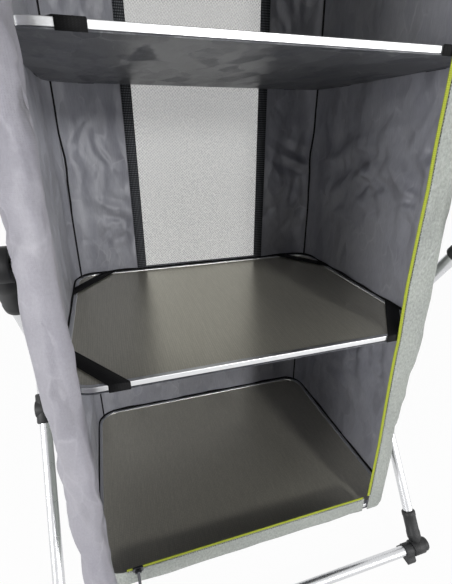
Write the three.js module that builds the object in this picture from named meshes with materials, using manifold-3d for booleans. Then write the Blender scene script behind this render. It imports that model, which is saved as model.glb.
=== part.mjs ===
// Folding camping cupboard: a double scissor tube frame carries a cloth body with three boards,
// a mesh window in its back wall and one tall zipped door that is thrown open to the left.
// Millimetres, +Z up, front towards -Y, X across the width, base of the feet at Z = 0.

import * as THREE from 'three';
import { mergeVertices } from 'three/addons/utils/BufferGeometryUtils.js';
import Module from 'manifold-3d';

const wasm = await Module();
wasm.setup();

// Frame tubes and the scissor
const TUBE_DIAMETER = 18;
const TUBE_WALL = 1.2;
const PIVOT_BEYOND_BOARD = 27; // from a board's front or back edge out to a pivot row
const CROSSING_RISE = 318; // from a pivot row up to the crossing of one pair of legs
const FOOT_PIVOT_HEIGHT = 16;
const LEG_BESIDE_BOARD = 21; // from a board's side out to the tube axis of the inner legs
const LEG_PLANE_DISTANCE = 43; // between the inner and the outer leg's tube axes

// Moulded joints, pins and rail fittings
const RUNNING_GAP = 0.3;
const RAIL_GAP = 0.5; // between a rail's flats and the flats of an eye that turns on it
const SLEEVE_WALL = 3;
const SLEEVE_LENGTH = 46;
const SADDLE_LENGTH = 48;
const SLEEVE_LIP = 1.2;
const HUB_RADIUS = 16;
const CROSSING_BOSS_RADIUS = 14;
const RAIL_EYE_RADIUS = 14;
const TUBE_SETBACK = 20; // from a pivot to the cut end of its leg tube
const PIN_DIAMETER = 8;
const PIN_GAP = 0.5; // all round a pin, enough for its flats to turn in the bore's
const PIN_HEAD_DIAMETER = 14;
const PIN_HEAD_HEIGHT = 2.2;
const FOOT_DEPTH = 34;
const FOOT_CORNER = 6;
const FOOT_CROWN = 3; // plastic above the rail in a foot block
const CAP_LENGTH = 10;
const CAP_ROUNDING = 4;
const COLLAR_LENGTH = 9;
const COLLAR_WALL = 2.4;
const DRAIN_DIAMETER = 4;

// Boards: a laminate panel held in a channel of aluminium edging
const BOARD_WIDTH = 506;
const BOARD_DEPTH = 384;
const BOARD_CORNER = 40;
const EDGING_HEIGHT = 7.6;
const EDGING_LIP = 6.6;
const EDGING_WALL = 1.2;
const PANEL_THICKNESS = 5;
const FLOOR_BOARD_TOP = 145;
const SHELF_HEIGHT = 347; // from one board up to the next
const TABLETOP_SIDE_OVERHANG = 13; // beyond the tube axis of the outer legs
const TABLETOP_END_OVERHANG = 16; // beyond a pivot row
const TABLETOP_CORNER = 30;
const TABLETOP_EDGING_HEIGHT = 10;
const TABLETOP_PANEL_THICKNESS = 7.4;
const TABLETOP_CLEARANCE = 0.8; // above the crowns of the leg eyes

// Cloth body
const CLOTH_THICKNESS = 1.4;
const SHELF_CLOTH_THICKNESS = 1.2;
const WALL_CLEARANCE = 1.6; // between a board's edging and the wall's inner face
const WALL_BULGE = 2.6; // how far a side wall swells between two shelves
const WALL_FOLD_DEPTH = 0.9;
const WALL_HEM = 2; // the walls end this far below the floor cloth
const ROOF_DROP = 15; // from the top rails' axes down to the roof cloth
const SHELF_CLOTH_INSET = 0.8;
const PIPING_DIAMETER = 2.6;
const PIPING_GAP = 0.3;
const ZIP_WIDTH = 6;
const ZIP_THICKNESS = 1.4;
const ZIP_LINE_INSET = 61; // of the upright zip on the front, from the board's right side
const DOOR_SEAM_ANGLE = 64; // degrees round the left front corner where the door is sewn on
const SILL_HEIGHT = 30;
const HEADER_HEIGHT = 56;
const WINDOW_LEFT = -115;
const WINDOW_RIGHT = 123;
const WINDOW_SILL_ABOVE_BOARD = 6;
const WINDOW_HEAD_BELOW_ROOF = 48;
const MESH_THICKNESS = 0.7;
const TAPE_WIDTH = 18;
const TAPE_THICKNESS = 0.8;
const TAPE_HEM = 4; // of the tape below the window

// Door thrown open: gathered forward of its seam, one broad turn round smaller upright folds
const DOOR_CLOTH_THICKNESS = 1;
const DOOR_BUNCH_INSET = 34.7; // right side of the gathered door, from the board's left side
const DOOR_PIN_CLEARANCE = 4.2; // between the gathered door and the heads of the hub's pins
const DOOR_WRAP_SHARES = [0.2, 0.257, 0.222, 0.158]; // depths of the broad turn, of the door's width
const DOOR_FOLD_SHARES = [0.057, 0.181]; // depths between which the inner folds run
const DOOR_INNER_FOLDS = 2;
const DOOR_PITCH_SHARE = 0.178; // from panel to panel of an inner fold, of the gathered width
const DOOR_LEAD = 0.5; // from the wall out to the door's cloth at the seam
const DOOR_GAP = 3; // above the sill and below the header
const DOOR_WAIST_SHARE = 0.04; // how much the folds draw back halfway up

// Straps and rail tunnels
const STRAP_WIDTH = 20;
const STRAP_THICKNESS = 1;
const STRAP_SIDE_REACH = 103; // from a board's corner along its side
const STRAP_FRONT_REACH = 76; // from a board's corner along its front
const TUNNEL_LENGTH = 400; // of the cloth sleeve round a top rail
const TUNNEL_THICKNESS = 1.5;
const TUNNEL_HEM = 26;
const TUNNEL_CLOSE_TURN = 3.25; // half turns at which the loop meets its own hem again

// Zip slider and pull
const SLIDER_LENGTH = 15;
const SLIDER_HEIGHT = 9;
const SLIDER_THICKNESS = 3.2;
const SLIDER_CORNER = 2.4;
const SLIDER_START_INSET = 16;
const BAIL_RADIUS = 1.1;
const BAIL_STANDOFF = 3.2;
const BAIL_WIDTH = 7;
const PULL_LENGTH = 32;
const PULL_THICKNESS = 1.4;
const PULL_EYE_RADIUS = 2.6;

// Facets
const TUBE_SIDES = 12;
const BORE_SIDES = 10;
const ROUND_SIDES = 14;
const CORNER_STEPS = 4;
const CLOTH_CORNER_STEPS = 6;
const WALL_ROWS = 9;
const WALL_COLUMNS = 8;
const DOOR_ROWS = 6;
const DOOR_WRAP_STEPS = 10;
const DOOR_BEND_STEPS = 5;
const CUT_OVERRUN = 1;
const WELD_DISTANCE = 1e-4;

// Places worked out from the sizes above
const tubeRadius = TUBE_DIAMETER / 2;
const railBore = tubeRadius + RAIL_GAP;
const sleeveRadius = railBore + SLEEVE_WALL;
const pivotHalfDepth = BOARD_DEPTH / 2 + PIVOT_BEYOND_BOARD;
const innerLegPlane = BOARD_WIDTH / 2 + LEG_BESIDE_BOARD;
const outerLegPlane = innerLegPlane + LEG_PLANE_DISTANCE;
const middlePlane = (innerLegPlane + outerLegPlane) / 2;
const hubHeight = FOOT_PIVOT_HEIGHT + 2 * CROSSING_RISE;
const topPivotHeight = hubHeight + 2 * CROSSING_RISE;
const doorRightEdge = BOARD_WIDTH / 2 - ZIP_LINE_INSET;
const pinStart = innerLegPlane - sleeveRadius - RUNNING_GAP;
const pinEnd = outerLegPlane + sleeveRadius + RUNNING_GAP;
const footBlockStart = innerLegPlane + sleeveRadius + RUNNING_GAP;
const footBlockEnd = outerLegPlane - sleeveRadius - RUNNING_GAP;
const tabletopBottom = topPivotHeight + RAIL_EYE_RADIUS + TABLETOP_CLEARANCE;
const wallInnerWidth = BOARD_WIDTH / 2 + WALL_CLEARANCE;
const wallInnerDepth = BOARD_DEPTH / 2 + WALL_CLEARANCE;
const cornerCentre = new THREE.Vector2(BOARD_WIDTH / 2 - BOARD_CORNER, BOARD_DEPTH / 2 - BOARD_CORNER);
const wallRadius = BOARD_CORNER + WALL_CLEARANCE + CLOTH_THICKNESS / 2;
const wallMiddleDepth = wallInnerDepth + CLOTH_THICKNESS / 2;
const boardTops = [0, 1, 2].map((level) => FLOOR_BOARD_TOP + level * SHELF_HEIGHT);
const shelfClothTop = (top) => top - EDGING_HEIGHT - RUNNING_GAP;
const wallBottom = shelfClothTop(boardTops[0]) - SHELF_CLOTH_THICKNESS - WALL_HEM;
const roofBottom = topPivotHeight - ROOF_DROP;
const wallTop = roofBottom - RUNNING_GAP;
const sillTop = wallBottom + SILL_HEIGHT;
const headerBottom = wallTop - HEADER_HEIGHT;
const seamAngle = THREE.MathUtils.degToRad(DOOR_SEAM_ANGLE);

// Finishes
const anodised = { color: 0xb9bcc0, roughness: 0.35, metalness: 0.9 };
const blackNylon = { color: 0x17181a, roughness: 0.5, metalness: 0 };
const laminate = { color: 0x6c695e, roughness: 0.32, metalness: 0.1 };
const greyCloth = { color: 0x8d8e95, roughness: 0.85, metalness: 0 };
const shelfCloth = { color: 0x55575d, roughness: 0.9, metalness: 0 };
const blackWebbing = { color: 0x101011, roughness: 0.8, metalness: 0 };
const paleMesh = { color: 0xc6c7c6, roughness: 0.8, metalness: 0 };
const limeZip = { color: 0xa8b52c, roughness: 0.6, metalness: 0 };
const zincPull = { color: 0x3c3d40, roughness: 0.4, metalness: 0.7 };
const stainless = { color: 0xcfd0d2, roughness: 0.25, metalness: 1 };

const cupboard = new THREE.Group();

// Turns a closed geometry the right way out and merges its shared corners.
function closed(geometry) {
  const bare = geometry.clone();
  bare.deleteAttribute('normal');
  bare.deleteAttribute('uv');
  const merged = mergeVertices(bare, WELD_DISTANCE);
  const place = merged.getAttribute('position');
  const index = merged.getIndex();
  const corners = [new THREE.Vector3(), new THREE.Vector3(), new THREE.Vector3()];
  const kept = [];
  let volume = 0;
  for (let i = 0; i < index.count; i += 3) {
    const ids = [index.getX(i), index.getX(i + 1), index.getX(i + 2)];
    if (ids[0] === ids[1] || ids[1] === ids[2] || ids[2] === ids[0]) continue;
    ids.forEach((id, k) => corners[k].fromBufferAttribute(place, id));
    volume += corners[0].dot(corners[1].clone().cross(corners[2]));
    kept.push(ids);
  }
  const order = volume < 0 ? [0, 2, 1] : [0, 1, 2];
  merged.setIndex(kept.flatMap((ids) => order.map((k) => ids[k])));
  return merged;
}

// The same body as a solid that can be joined and cut.
function solid(geometry) {
  const body = closed(geometry);
  return new wasm.Manifold(new wasm.Mesh({
    numProp: 3,
    vertProperties: new Float32Array(body.getAttribute('position').array),
    triVerts: new Uint32Array(body.getIndex().array),
  }));
}

function geometryOf(manifold) {
  const mesh = manifold.getMesh();
  const geometry = new THREE.BufferGeometry();
  geometry.setAttribute('position', new THREE.BufferAttribute(new Float32Array(mesh.vertProperties), 3));
  geometry.setIndex(new THREE.BufferAttribute(new Uint32Array(mesh.triVerts), 1));
  return geometry;
}

function join(geometries) {
  return geometries.map(solid).reduce((whole, piece) => whole.add(piece));
}

function cut(whole, geometries) {
  return geometries.reduce((rest, tool) => rest.subtract(solid(tool)), whole);
}

function mirrored(geometry) {
  return closed(geometry.clone().scale(-1, 1, 1));
}

function add(name, geometry, finish) {
  const mesh = new THREE.Mesh(geometry, new THREE.MeshStandardMaterial(finish));
  mesh.name = name;
  cupboard.add(mesh);
}

// A piece on the right and its mirror image on the left.
function addPair(name, geometry, finish) {
  add(`${name}_right`, closed(geometry), finish);
  add(`${name}_left`, mirrored(geometry), finish);
}

// A round body along X between two places, its profile given as [radius, x] points.
function turnedAlongX(profile, y, z, sides = ROUND_SIDES) {
  const points = profile.map(([radius, x]) => new THREE.Vector2(radius, x));
  return new THREE.LatheGeometry(points, sides).rotateZ(-Math.PI / 2).translate(0, y, z);
}

function rodAlongX(radius, from, to, y, z, sides = ROUND_SIDES) {
  return turnedAlongX([[0, from], [radius, from], [radius, to], [0, to]], y, z, sides);
}

// A round body turned about a leg's axis, its profile given as [radius, distance from the pivot].
function turnedAlongLeg(profile, plane, pivot, angle, sides = ROUND_SIDES) {
  const points = profile.map(([radius, along]) => new THREE.Vector2(radius, along));
  return new THREE.LatheGeometry(points, sides).rotateX(angle).translate(plane, pivot.y, pivot.z);
}

function roundedRectangle(halfWidth, halfDepth, corner) {
  const shape = new THREE.Shape();
  shape.absarc(halfWidth - corner, halfDepth - corner, corner, 0, Math.PI / 2);
  shape.absarc(corner - halfWidth, halfDepth - corner, corner, Math.PI / 2, Math.PI);
  shape.absarc(corner - halfWidth, corner - halfDepth, corner, Math.PI, 1.5 * Math.PI);
  shape.absarc(halfWidth - corner, corner - halfDepth, corner, 1.5 * Math.PI, 2 * Math.PI);
  return shape;
}

function slab(shape, bottom, thickness, steps = CORNER_STEPS) {
  const options = { depth: thickness, bevelEnabled: false, curveSegments: steps };
  return new THREE.ExtrudeGeometry(shape, options).translate(0, 0, bottom);
}

function block(x, y, z) {
  const size = [x, y, z].map(([low, high]) => high - low);
  const centre = [x, y, z].map(([low, high]) => (low + high) / 2);
  return new THREE.BoxGeometry(...size).translate(...centre);
}

// Frame: four pairs of legs. Each runs from its lower pivot to its upper one.
const legPairs = {
  a: { plane: innerLegPlane, side: 1, from: FOOT_PIVOT_HEIGHT, lower: 'rail', upper: 'hub' },
  b: { plane: outerLegPlane, side: -1, from: FOOT_PIVOT_HEIGHT, lower: 'rail', upper: 'hub' },
  c: { plane: outerLegPlane, side: -1, from: hubHeight, lower: 'hub', upper: 'rail' },
  d: { plane: innerLegPlane, side: 1, from: hubHeight, lower: 'hub', upper: 'rail' },
};

// How far an eye or boss reaches along X: a rail eye is as wide as its sleeve, while a joint half
// runs from the tube's far side to the plane where it meets the other leg's half.
function eyeSpan(pair, onRail) {
  const inwards = pair.plane < middlePlane ? 1 : -1;
  const ends = onRail
    ? [pair.plane - sleeveRadius, pair.plane + sleeveRadius]
    : [pair.plane - inwards * sleeveRadius, middlePlane - inwards * RUNNING_GAP];
  return ends.sort((low, high) => low - high);
}

// Where a pair's pivots lie and how its tubes lean. Side 1 starts at the back, -1 at the front.
function legGeometry(pair) {
  const lower = new THREE.Vector3(0, pair.side * pivotHalfDepth, pair.from);
  const upper = new THREE.Vector3(0, -pair.side * pivotHalfDepth, pair.from + 2 * CROSSING_RISE);
  const middle = lower.clone().add(upper).multiplyScalar(0.5);
  const angle = Math.atan2(upper.z - lower.z, upper.y - lower.y);
  return { lower, upper, middle, angle, length: lower.distanceTo(upper) };
}

// The moulded sleeve that grips a tube end and carries the eye of a pivot.
function endFitting(pair, end) {
  const { lower, upper, angle } = legGeometry(pair);
  const pivot = end === 'lower' ? lower : upper;
  const heading = end === 'lower' ? angle : angle + Math.PI;
  const [near, far] = eyeSpan(pair, pair[end] === 'rail');
  const eyeRadius = pair[end] === 'rail' ? RAIL_EYE_RADIUS : HUB_RADIUS;
  const tail = TUBE_SETBACK + SLEEVE_LENGTH;
  const sleeve = [
    [0, eyeRadius / 2],
    [tubeRadius, eyeRadius / 2],
    [sleeveRadius, TUBE_SETBACK - SLEEVE_WALL],
    [sleeveRadius, tail - SLEEVE_LIP],
    [sleeveRadius - SLEEVE_LIP, tail],
    [0, tail],
  ];
  return [
    turnedAlongLeg(sleeve, pair.plane, pivot, heading, TUBE_SIDES),
    rodAlongX(eyeRadius, near, far, pivot.y, pivot.z),
  ];
}

// The saddle round the middle of a tube, with the boss that spaces the crossing legs.
function crossingSaddle(pair) {
  const { middle, angle } = legGeometry(pair);
  const [near, far] = eyeSpan(pair, false);
  const half = SADDLE_LENGTH / 2;
  const sleeve = [
    [0, -half],
    [sleeveRadius - SLEEVE_LIP, -half],
    [sleeveRadius, SLEEVE_LIP - half],
    [sleeveRadius, half - SLEEVE_LIP],
    [sleeveRadius - SLEEVE_LIP, half],
    [0, half],
  ];
  return [
    turnedAlongLeg(sleeve, pair.plane, middle, angle, TUBE_SIDES),
    rodAlongX(CROSSING_BOSS_RADIUS, near, far, middle.y, middle.z),
  ];
}

// A leg: the tube with its two moulded ends and its saddle, bored for the tube's hollow,
// the rail and the pins.
function leg(pair) {
  const { lower, upper, middle, angle, length } = legGeometry(pair);
  const [start, end] = [TUBE_SETBACK, length - TUBE_SETBACK];
  const rod = (radius) => turnedAlongLeg([[0, start], [radius, start], [radius, end], [0, end]],
    pair.plane, lower, angle, TUBE_SIDES);
  const [near, far] = eyeSpan(pair, false);
  const bore = (pivot, radius, sides) => rodAlongX(radius, near - CUT_OVERRUN, far + CUT_OVERRUN,
    pivot.y, pivot.z, sides);
  const pinHole = PIN_DIAMETER / 2 + PIN_GAP;
  const eyeBore = (pivot, kind) => (kind === 'rail'
    ? bore(pivot, railBore, TUBE_SIDES)
    : bore(pivot, pinHole, BORE_SIDES));
  const body = join([
    rod(tubeRadius),
    ...endFitting(pair, 'lower'),
    ...endFitting(pair, 'upper'),
    ...crossingSaddle(pair),
  ]);
  return geometryOf(cut(body, [
    rod(tubeRadius - TUBE_WALL),
    eyeBore(lower, pair.lower),
    eyeBore(upper, pair.upper),
    bore(middle, pinHole, BORE_SIDES),
  ]));
}

// A pin with a domed head at each end, through the inner and the outer joint half.
function pivotPin(y, z) {
  const shaft = PIN_DIAMETER / 2;
  const head = PIN_HEAD_DIAMETER / 2;
  return turnedAlongX([
    [0, pinStart - PIN_HEAD_HEIGHT],
    [shaft, pinStart - PIN_HEAD_HEIGHT],
    [head, pinStart],
    [shaft, pinStart],
    [shaft, pinEnd],
    [head, pinEnd],
    [shaft, pinEnd + PIN_HEAD_HEIGHT],
    [0, pinEnd + PIN_HEAD_HEIGHT],
  ], y, z, BORE_SIDES);
}

function addLegs() {
  for (const [letter, pair] of Object.entries(legPairs)) addPair(`leg_${letter}`, leg(pair), anodised);
  addPair('pin_lower_crossing', pivotPin(0, FOOT_PIVOT_HEIGHT + CROSSING_RISE), stainless);
  addPair('pin_upper_crossing', pivotPin(0, hubHeight + CROSSING_RISE), stainless);
  addPair('pin_front_hub', pivotPin(-pivotHalfDepth, hubHeight), stainless);
  addPair('pin_back_hub', pivotPin(pivotHalfDepth, hubHeight), stainless);
}

// Rails: tubes across the width at the four outer pivot rows. Inner rails end in their blocks,
// outer rails run through them and through the leg eyes into end caps.
const outerRailEnd = pinEnd + CAP_LENGTH / 2;
const innerRailEnd = (footBlockStart + footBlockEnd) / 2;

// The cap on an outer rail's end, with a drain hole, or the collar beside an inner rail's leg eye.
function railEnd(outer, y, z) {
  const crown = tubeRadius + FOOT_CROWN;
  if (!outer) {
    return rodAlongX(railBore + COLLAR_WALL, pinStart - COLLAR_LENGTH, pinStart, y, z, TUBE_SIDES);
  }
  const end = pinEnd + CAP_LENGTH;
  return turnedAlongX([
    [0, pinEnd],
    [crown, pinEnd],
    [crown, end - CAP_ROUNDING],
    [crown - CAP_ROUNDING / 4, end - CAP_ROUNDING / 2],
    [crown - CAP_ROUNDING, end],
    [0, end],
  ], y, z, TUBE_SIDES);
}

function rail(outer, y, z) {
  const half = outer ? outerRailEnd : innerRailEnd;
  const end = railEnd(outer, y, z);
  const tube = rodAlongX(tubeRadius, -half, half, y, z, TUBE_SIDES);
  const hollow = rodAlongX(tubeRadius - TUBE_WALL, -half - CUT_OVERRUN * !outer, half + CUT_OVERRUN * !outer,
    y, z, TUBE_SIDES);
  const drain = rodAlongX(DRAIN_DIAMETER / 2, -half - CAP_LENGTH, half + CAP_LENGTH, y, z, TUBE_SIDES);
  return geometryOf(cut(join([tube, end, mirrored(end)]), [hollow, drain]));
}

// A block round a rail: its flat side is the foot below or the seat above.
function railBlock(y, z, flat, through) {
  const reach = Math.abs(flat - z);
  const up = Math.sign(flat - z);
  const half = FOOT_DEPTH / 2;
  const crown = tubeRadius + FOOT_CROWN;
  const shape = new THREE.Shape();
  shape.moveTo(-half, reach);
  shape.lineTo(-half, reach - FOOT_CORNER);
  shape.quadraticCurveTo(-half + FOOT_CORNER, reach - 2 * FOOT_CORNER, -crown, 0);
  shape.absarc(0, 0, crown, Math.PI, 2 * Math.PI);
  shape.quadraticCurveTo(half - FOOT_CORNER, reach - 2 * FOOT_CORNER, half, reach - FOOT_CORNER);
  shape.lineTo(half, reach);
  shape.closePath();
  const upright = slab(shape, footBlockStart, footBlockEnd - footBlockStart)
    .rotateX(Math.PI / 2)
    .rotateZ(Math.PI / 2);
  if (up < 0) upright.scale(1, 1, -1);
  const holeEnd = through ? footBlockEnd + CUT_OVERRUN : innerRailEnd + RUNNING_GAP;
  const body = cut(solid(upright.translate(0, y, z)), [
    rodAlongX(railBore, footBlockStart - CUT_OVERRUN, holeEnd, y, z, TUBE_SIDES),
  ]);
  return geometryOf(body);
}

function addRails() {
  const [back, front] = [pivotHalfDepth, -pivotHalfDepth];
  const footFlat = 0;
  const seatFlat = tabletopBottom - RUNNING_GAP;
  add('foot_rail_back', rail(false, back, FOOT_PIVOT_HEIGHT), anodised);
  add('foot_rail_front', rail(true, front, FOOT_PIVOT_HEIGHT), anodised);
  add('top_rail_back', rail(true, back, topPivotHeight), anodised);
  add('top_rail_front', rail(false, front, topPivotHeight), anodised);
  addPair('foot_back', railBlock(back, FOOT_PIVOT_HEIGHT, footFlat, false), blackNylon);
  addPair('foot_front', railBlock(front, FOOT_PIVOT_HEIGHT, footFlat, true), blackNylon);
  addPair('top_seat_back', railBlock(back, topPivotHeight, seatFlat, true), blackNylon);
  addPair('top_seat_front', railBlock(front, topPivotHeight, seatFlat, false), blackNylon);
}

// A laminate panel and the aluminium channel round its edge.
function framedBoard({ width, depth, corner, height, panel, top }) {
  const outline = (inset) => roundedRectangle(width / 2 - inset, depth / 2 - inset, corner - inset);
  const panelBottom = top - (height + panel) / 2;
  const panelShape = outline(EDGING_WALL + RUNNING_GAP);
  const grooveShape = outline(EDGING_WALL);
  const edging = cut(solid(slab(outline(0), top - height, height)), [
    slab(outline(EDGING_LIP), top - height - CUT_OVERRUN, height + 2 * CUT_OVERRUN),
    slab(grooveShape, panelBottom - RUNNING_GAP, panel + 2 * RUNNING_GAP),
  ]);
  return { panel: closed(slab(panelShape, panelBottom, panel)), edging: geometryOf(edging) };
}

// One webbing strap laid across a board's front left corner and turned down over its front edge.
function cornerStrap(top) {
  const half = { x: BOARD_WIDTH / 2, y: BOARD_DEPTH / 2 };
  const side = new THREE.Vector2(-half.x, STRAP_SIDE_REACH - half.y);
  const front = new THREE.Vector2(STRAP_FRONT_REACH - half.x, -half.y);
  const along = front.clone().sub(side).normalize();
  const across = new THREE.Vector2(along.y, -along.x).multiplyScalar(STRAP_WIDTH);
  if (across.y > 0) across.negate();
  const sideEdge = -half.x - WALL_CLEARANCE + RUNNING_GAP;
  const frontEdge = -half.y - RUNNING_GAP - STRAP_THICKNESS;
  const atX = (point, x) => point.clone().addScaledVector(along, (x - point.x) / along.x);
  const atY = (point, y) => point.clone().addScaledVector(along, (y - point.y) / along.y);
  const outer = side.clone().add(across);
  const corners = [atX(side, sideEdge), atX(outer, sideEdge), atY(outer, frontEdge), atY(side, frontEdge)];
  const [bottom, crest] = [shelfClothTop(top) - SHELF_CLOTH_THICKNESS, top + RUNNING_GAP + STRAP_THICKNESS];
  const flat = slab(new THREE.Shape(corners), top + RUNNING_GAP, STRAP_THICKNESS);
  const frontDrop = block([corners[2].x, corners[3].x].sort((low, high) => low - high),
    [frontEdge, frontEdge + STRAP_THICKNESS], [bottom, crest]);
  const sideDrop = block([sideEdge, -half.x - RUNNING_GAP],
    [corners[0].y, corners[1].y].sort((low, high) => low - high), [bottom, crest]);
  return geometryOf(join([flat, frontDrop, sideDrop]));
}

// The cloth under a board, sewn to the corner straps that hold the board down.
function shelfSheet(top, strapped) {
  const inset = SHELF_CLOTH_INSET;
  const outline = roundedRectangle(wallInnerWidth - inset, wallInnerDepth - inset,
    BOARD_CORNER + WALL_CLEARANCE - inset);
  const bottom = shelfClothTop(top) - SHELF_CLOTH_THICKNESS;
  const sheet = slab(outline, bottom, SHELF_CLOTH_THICKNESS, CLOTH_CORNER_STEPS);
  if (!strapped) return closed(sheet);
  const strap = cornerStrap(top);
  const backStrap = closed(strap.clone().scale(1, -1, 1));
  return geometryOf(join([sheet, strap, mirrored(strap), backStrap, mirrored(backStrap)]));
}

function addBoards() {
  const names = ['floor', 'middle', 'upper'];
  const size = { width: BOARD_WIDTH, depth: BOARD_DEPTH, corner: BOARD_CORNER };
  boardTops.forEach((top, level) => {
    const parts = framedBoard({ ...size, height: EDGING_HEIGHT, panel: PANEL_THICKNESS, top });
    add(`${names[level]}_board`, parts.panel, laminate);
    add(`${names[level]}_board_edging`, parts.edging, anodised);
    add(`${names[level]}_shelf_cloth`, shelfSheet(top, level > 0), shelfCloth);
  });
  const tabletop = framedBoard({
    width: 2 * (outerLegPlane + TABLETOP_SIDE_OVERHANG),
    depth: 2 * (pivotHalfDepth + TABLETOP_END_OVERHANG),
    corner: TABLETOP_CORNER,
    height: TABLETOP_EDGING_HEIGHT,
    panel: TABLETOP_PANEL_THICKNESS,
    top: tabletopBottom + TABLETOP_EDGING_HEIGHT,
  });
  add('tabletop', tabletop.panel, laminate);
  add('tabletop_edging', tabletop.edging, anodised);
}

// A thin cloth: a grid of points pushed out to both sides, closed round its rim.
function cloth(columns, rows, thickness, pointAt, normalAt) {
  const positions = [];
  for (const side of [0.5, -0.5]) {
    for (let j = 0; j <= rows; j += 1) {
      for (let i = 0; i <= columns; i += 1) {
        const point = pointAt(i / columns, j / rows);
        point.addScaledVector(normalAt(i / columns, j / rows), side * thickness);
        positions.push(point.x, point.y, point.z);
      }
    }
  }
  const sheet = (columns + 1) * (rows + 1);
  const at = (side, i, j) => side * sheet + j * (columns + 1) + i;
  const faces = [];
  const quad = (a, b, c, d) => faces.push(a, b, c, a, c, d);
  for (let j = 0; j < rows; j += 1) {
    for (let i = 0; i < columns; i += 1) {
      quad(at(0, i, j), at(0, i + 1, j), at(0, i + 1, j + 1), at(0, i, j + 1));
      quad(at(1, i, j), at(1, i, j + 1), at(1, i + 1, j + 1), at(1, i + 1, j));
    }
    quad(at(0, 0, j), at(0, 0, j + 1), at(1, 0, j + 1), at(1, 0, j));
    quad(at(0, columns, j), at(1, columns, j), at(1, columns, j + 1), at(0, columns, j + 1));
  }
  for (let i = 0; i < columns; i += 1) {
    quad(at(0, i, 0), at(1, i, 0), at(1, i + 1, 0), at(0, i + 1, 0));
    quad(at(0, i, rows), at(0, i + 1, rows), at(1, i + 1, rows), at(1, i, rows));
  }
  const geometry = new THREE.BufferGeometry();
  geometry.setAttribute('position', new THREE.Float32BufferAttribute(positions, 3));
  geometry.setIndex(faces);
  return closed(geometry);
}

// The wall's plan outline: straights joined by corner arcs, as points and normals.
const rightBack = new THREE.Vector2(1, 1);
const leftBack = new THREE.Vector2(-1, 1);
const leftFront = new THREE.Vector2(-1, -1);
const rightFront = new THREE.Vector2(1, -1);

function planPoint(corner, angle) {
  const centre = cornerCentre.clone().multiply(corner);
  const normal = new THREE.Vector2(Math.cos(angle), Math.sin(angle));
  return { point: centre.addScaledVector(normal, wallRadius), normal };
}

function arcPoints(corner, from, to) {
  const steps = Math.max(2, Math.round(Math.abs(to - from) / (Math.PI / 2) * CLOTH_CORNER_STEPS));
  return Array.from({ length: steps + 1 }, (unused, i) => planPoint(corner, from + (to - from) * i / steps));
}

function straightBetween(first, last, steps) {
  return Array.from({ length: steps - 1 }, (unused, i) => ({
    point: first.point.clone().lerp(last.point, (i + 1) / steps),
    normal: first.normal.clone(),
  }));
}

// An upright wall along a plan outline, swelling between the shelves.
function wall(outline, bottom, top, rows, swell) {
  const columns = outline.length - 1;
  const heightAt = (v) => bottom + (top - bottom) * v;
  const pointAt = (u, v) => {
    const { point, normal } = outline[Math.round(u * columns)];
    const z = heightAt(v);
    const share = (z - boardTops[0]) / SHELF_HEIGHT;
    const between = z < boardTops[0] ? 0 : Math.sin(Math.PI * Math.min(share, boardTops.length)) ** 2;
    const across = Math.sin(Math.PI * u) ** 2;
    const folds = Math.sin(3 * Math.PI * u + 2 * share) * WALL_FOLD_DEPTH;
    const push = swell * between * across * (WALL_BULGE + folds);
    return new THREE.Vector3(point.x + normal.x * push, point.y + normal.y * push, z);
  };
  const normalAt = (u) => {
    const { normal } = outline[Math.round(u * columns)];
    return new THREE.Vector3(normal.x, normal.y, 0);
  };
  return cloth(columns, rows, CLOTH_THICKNESS, pointAt, normalAt);
}

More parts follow.
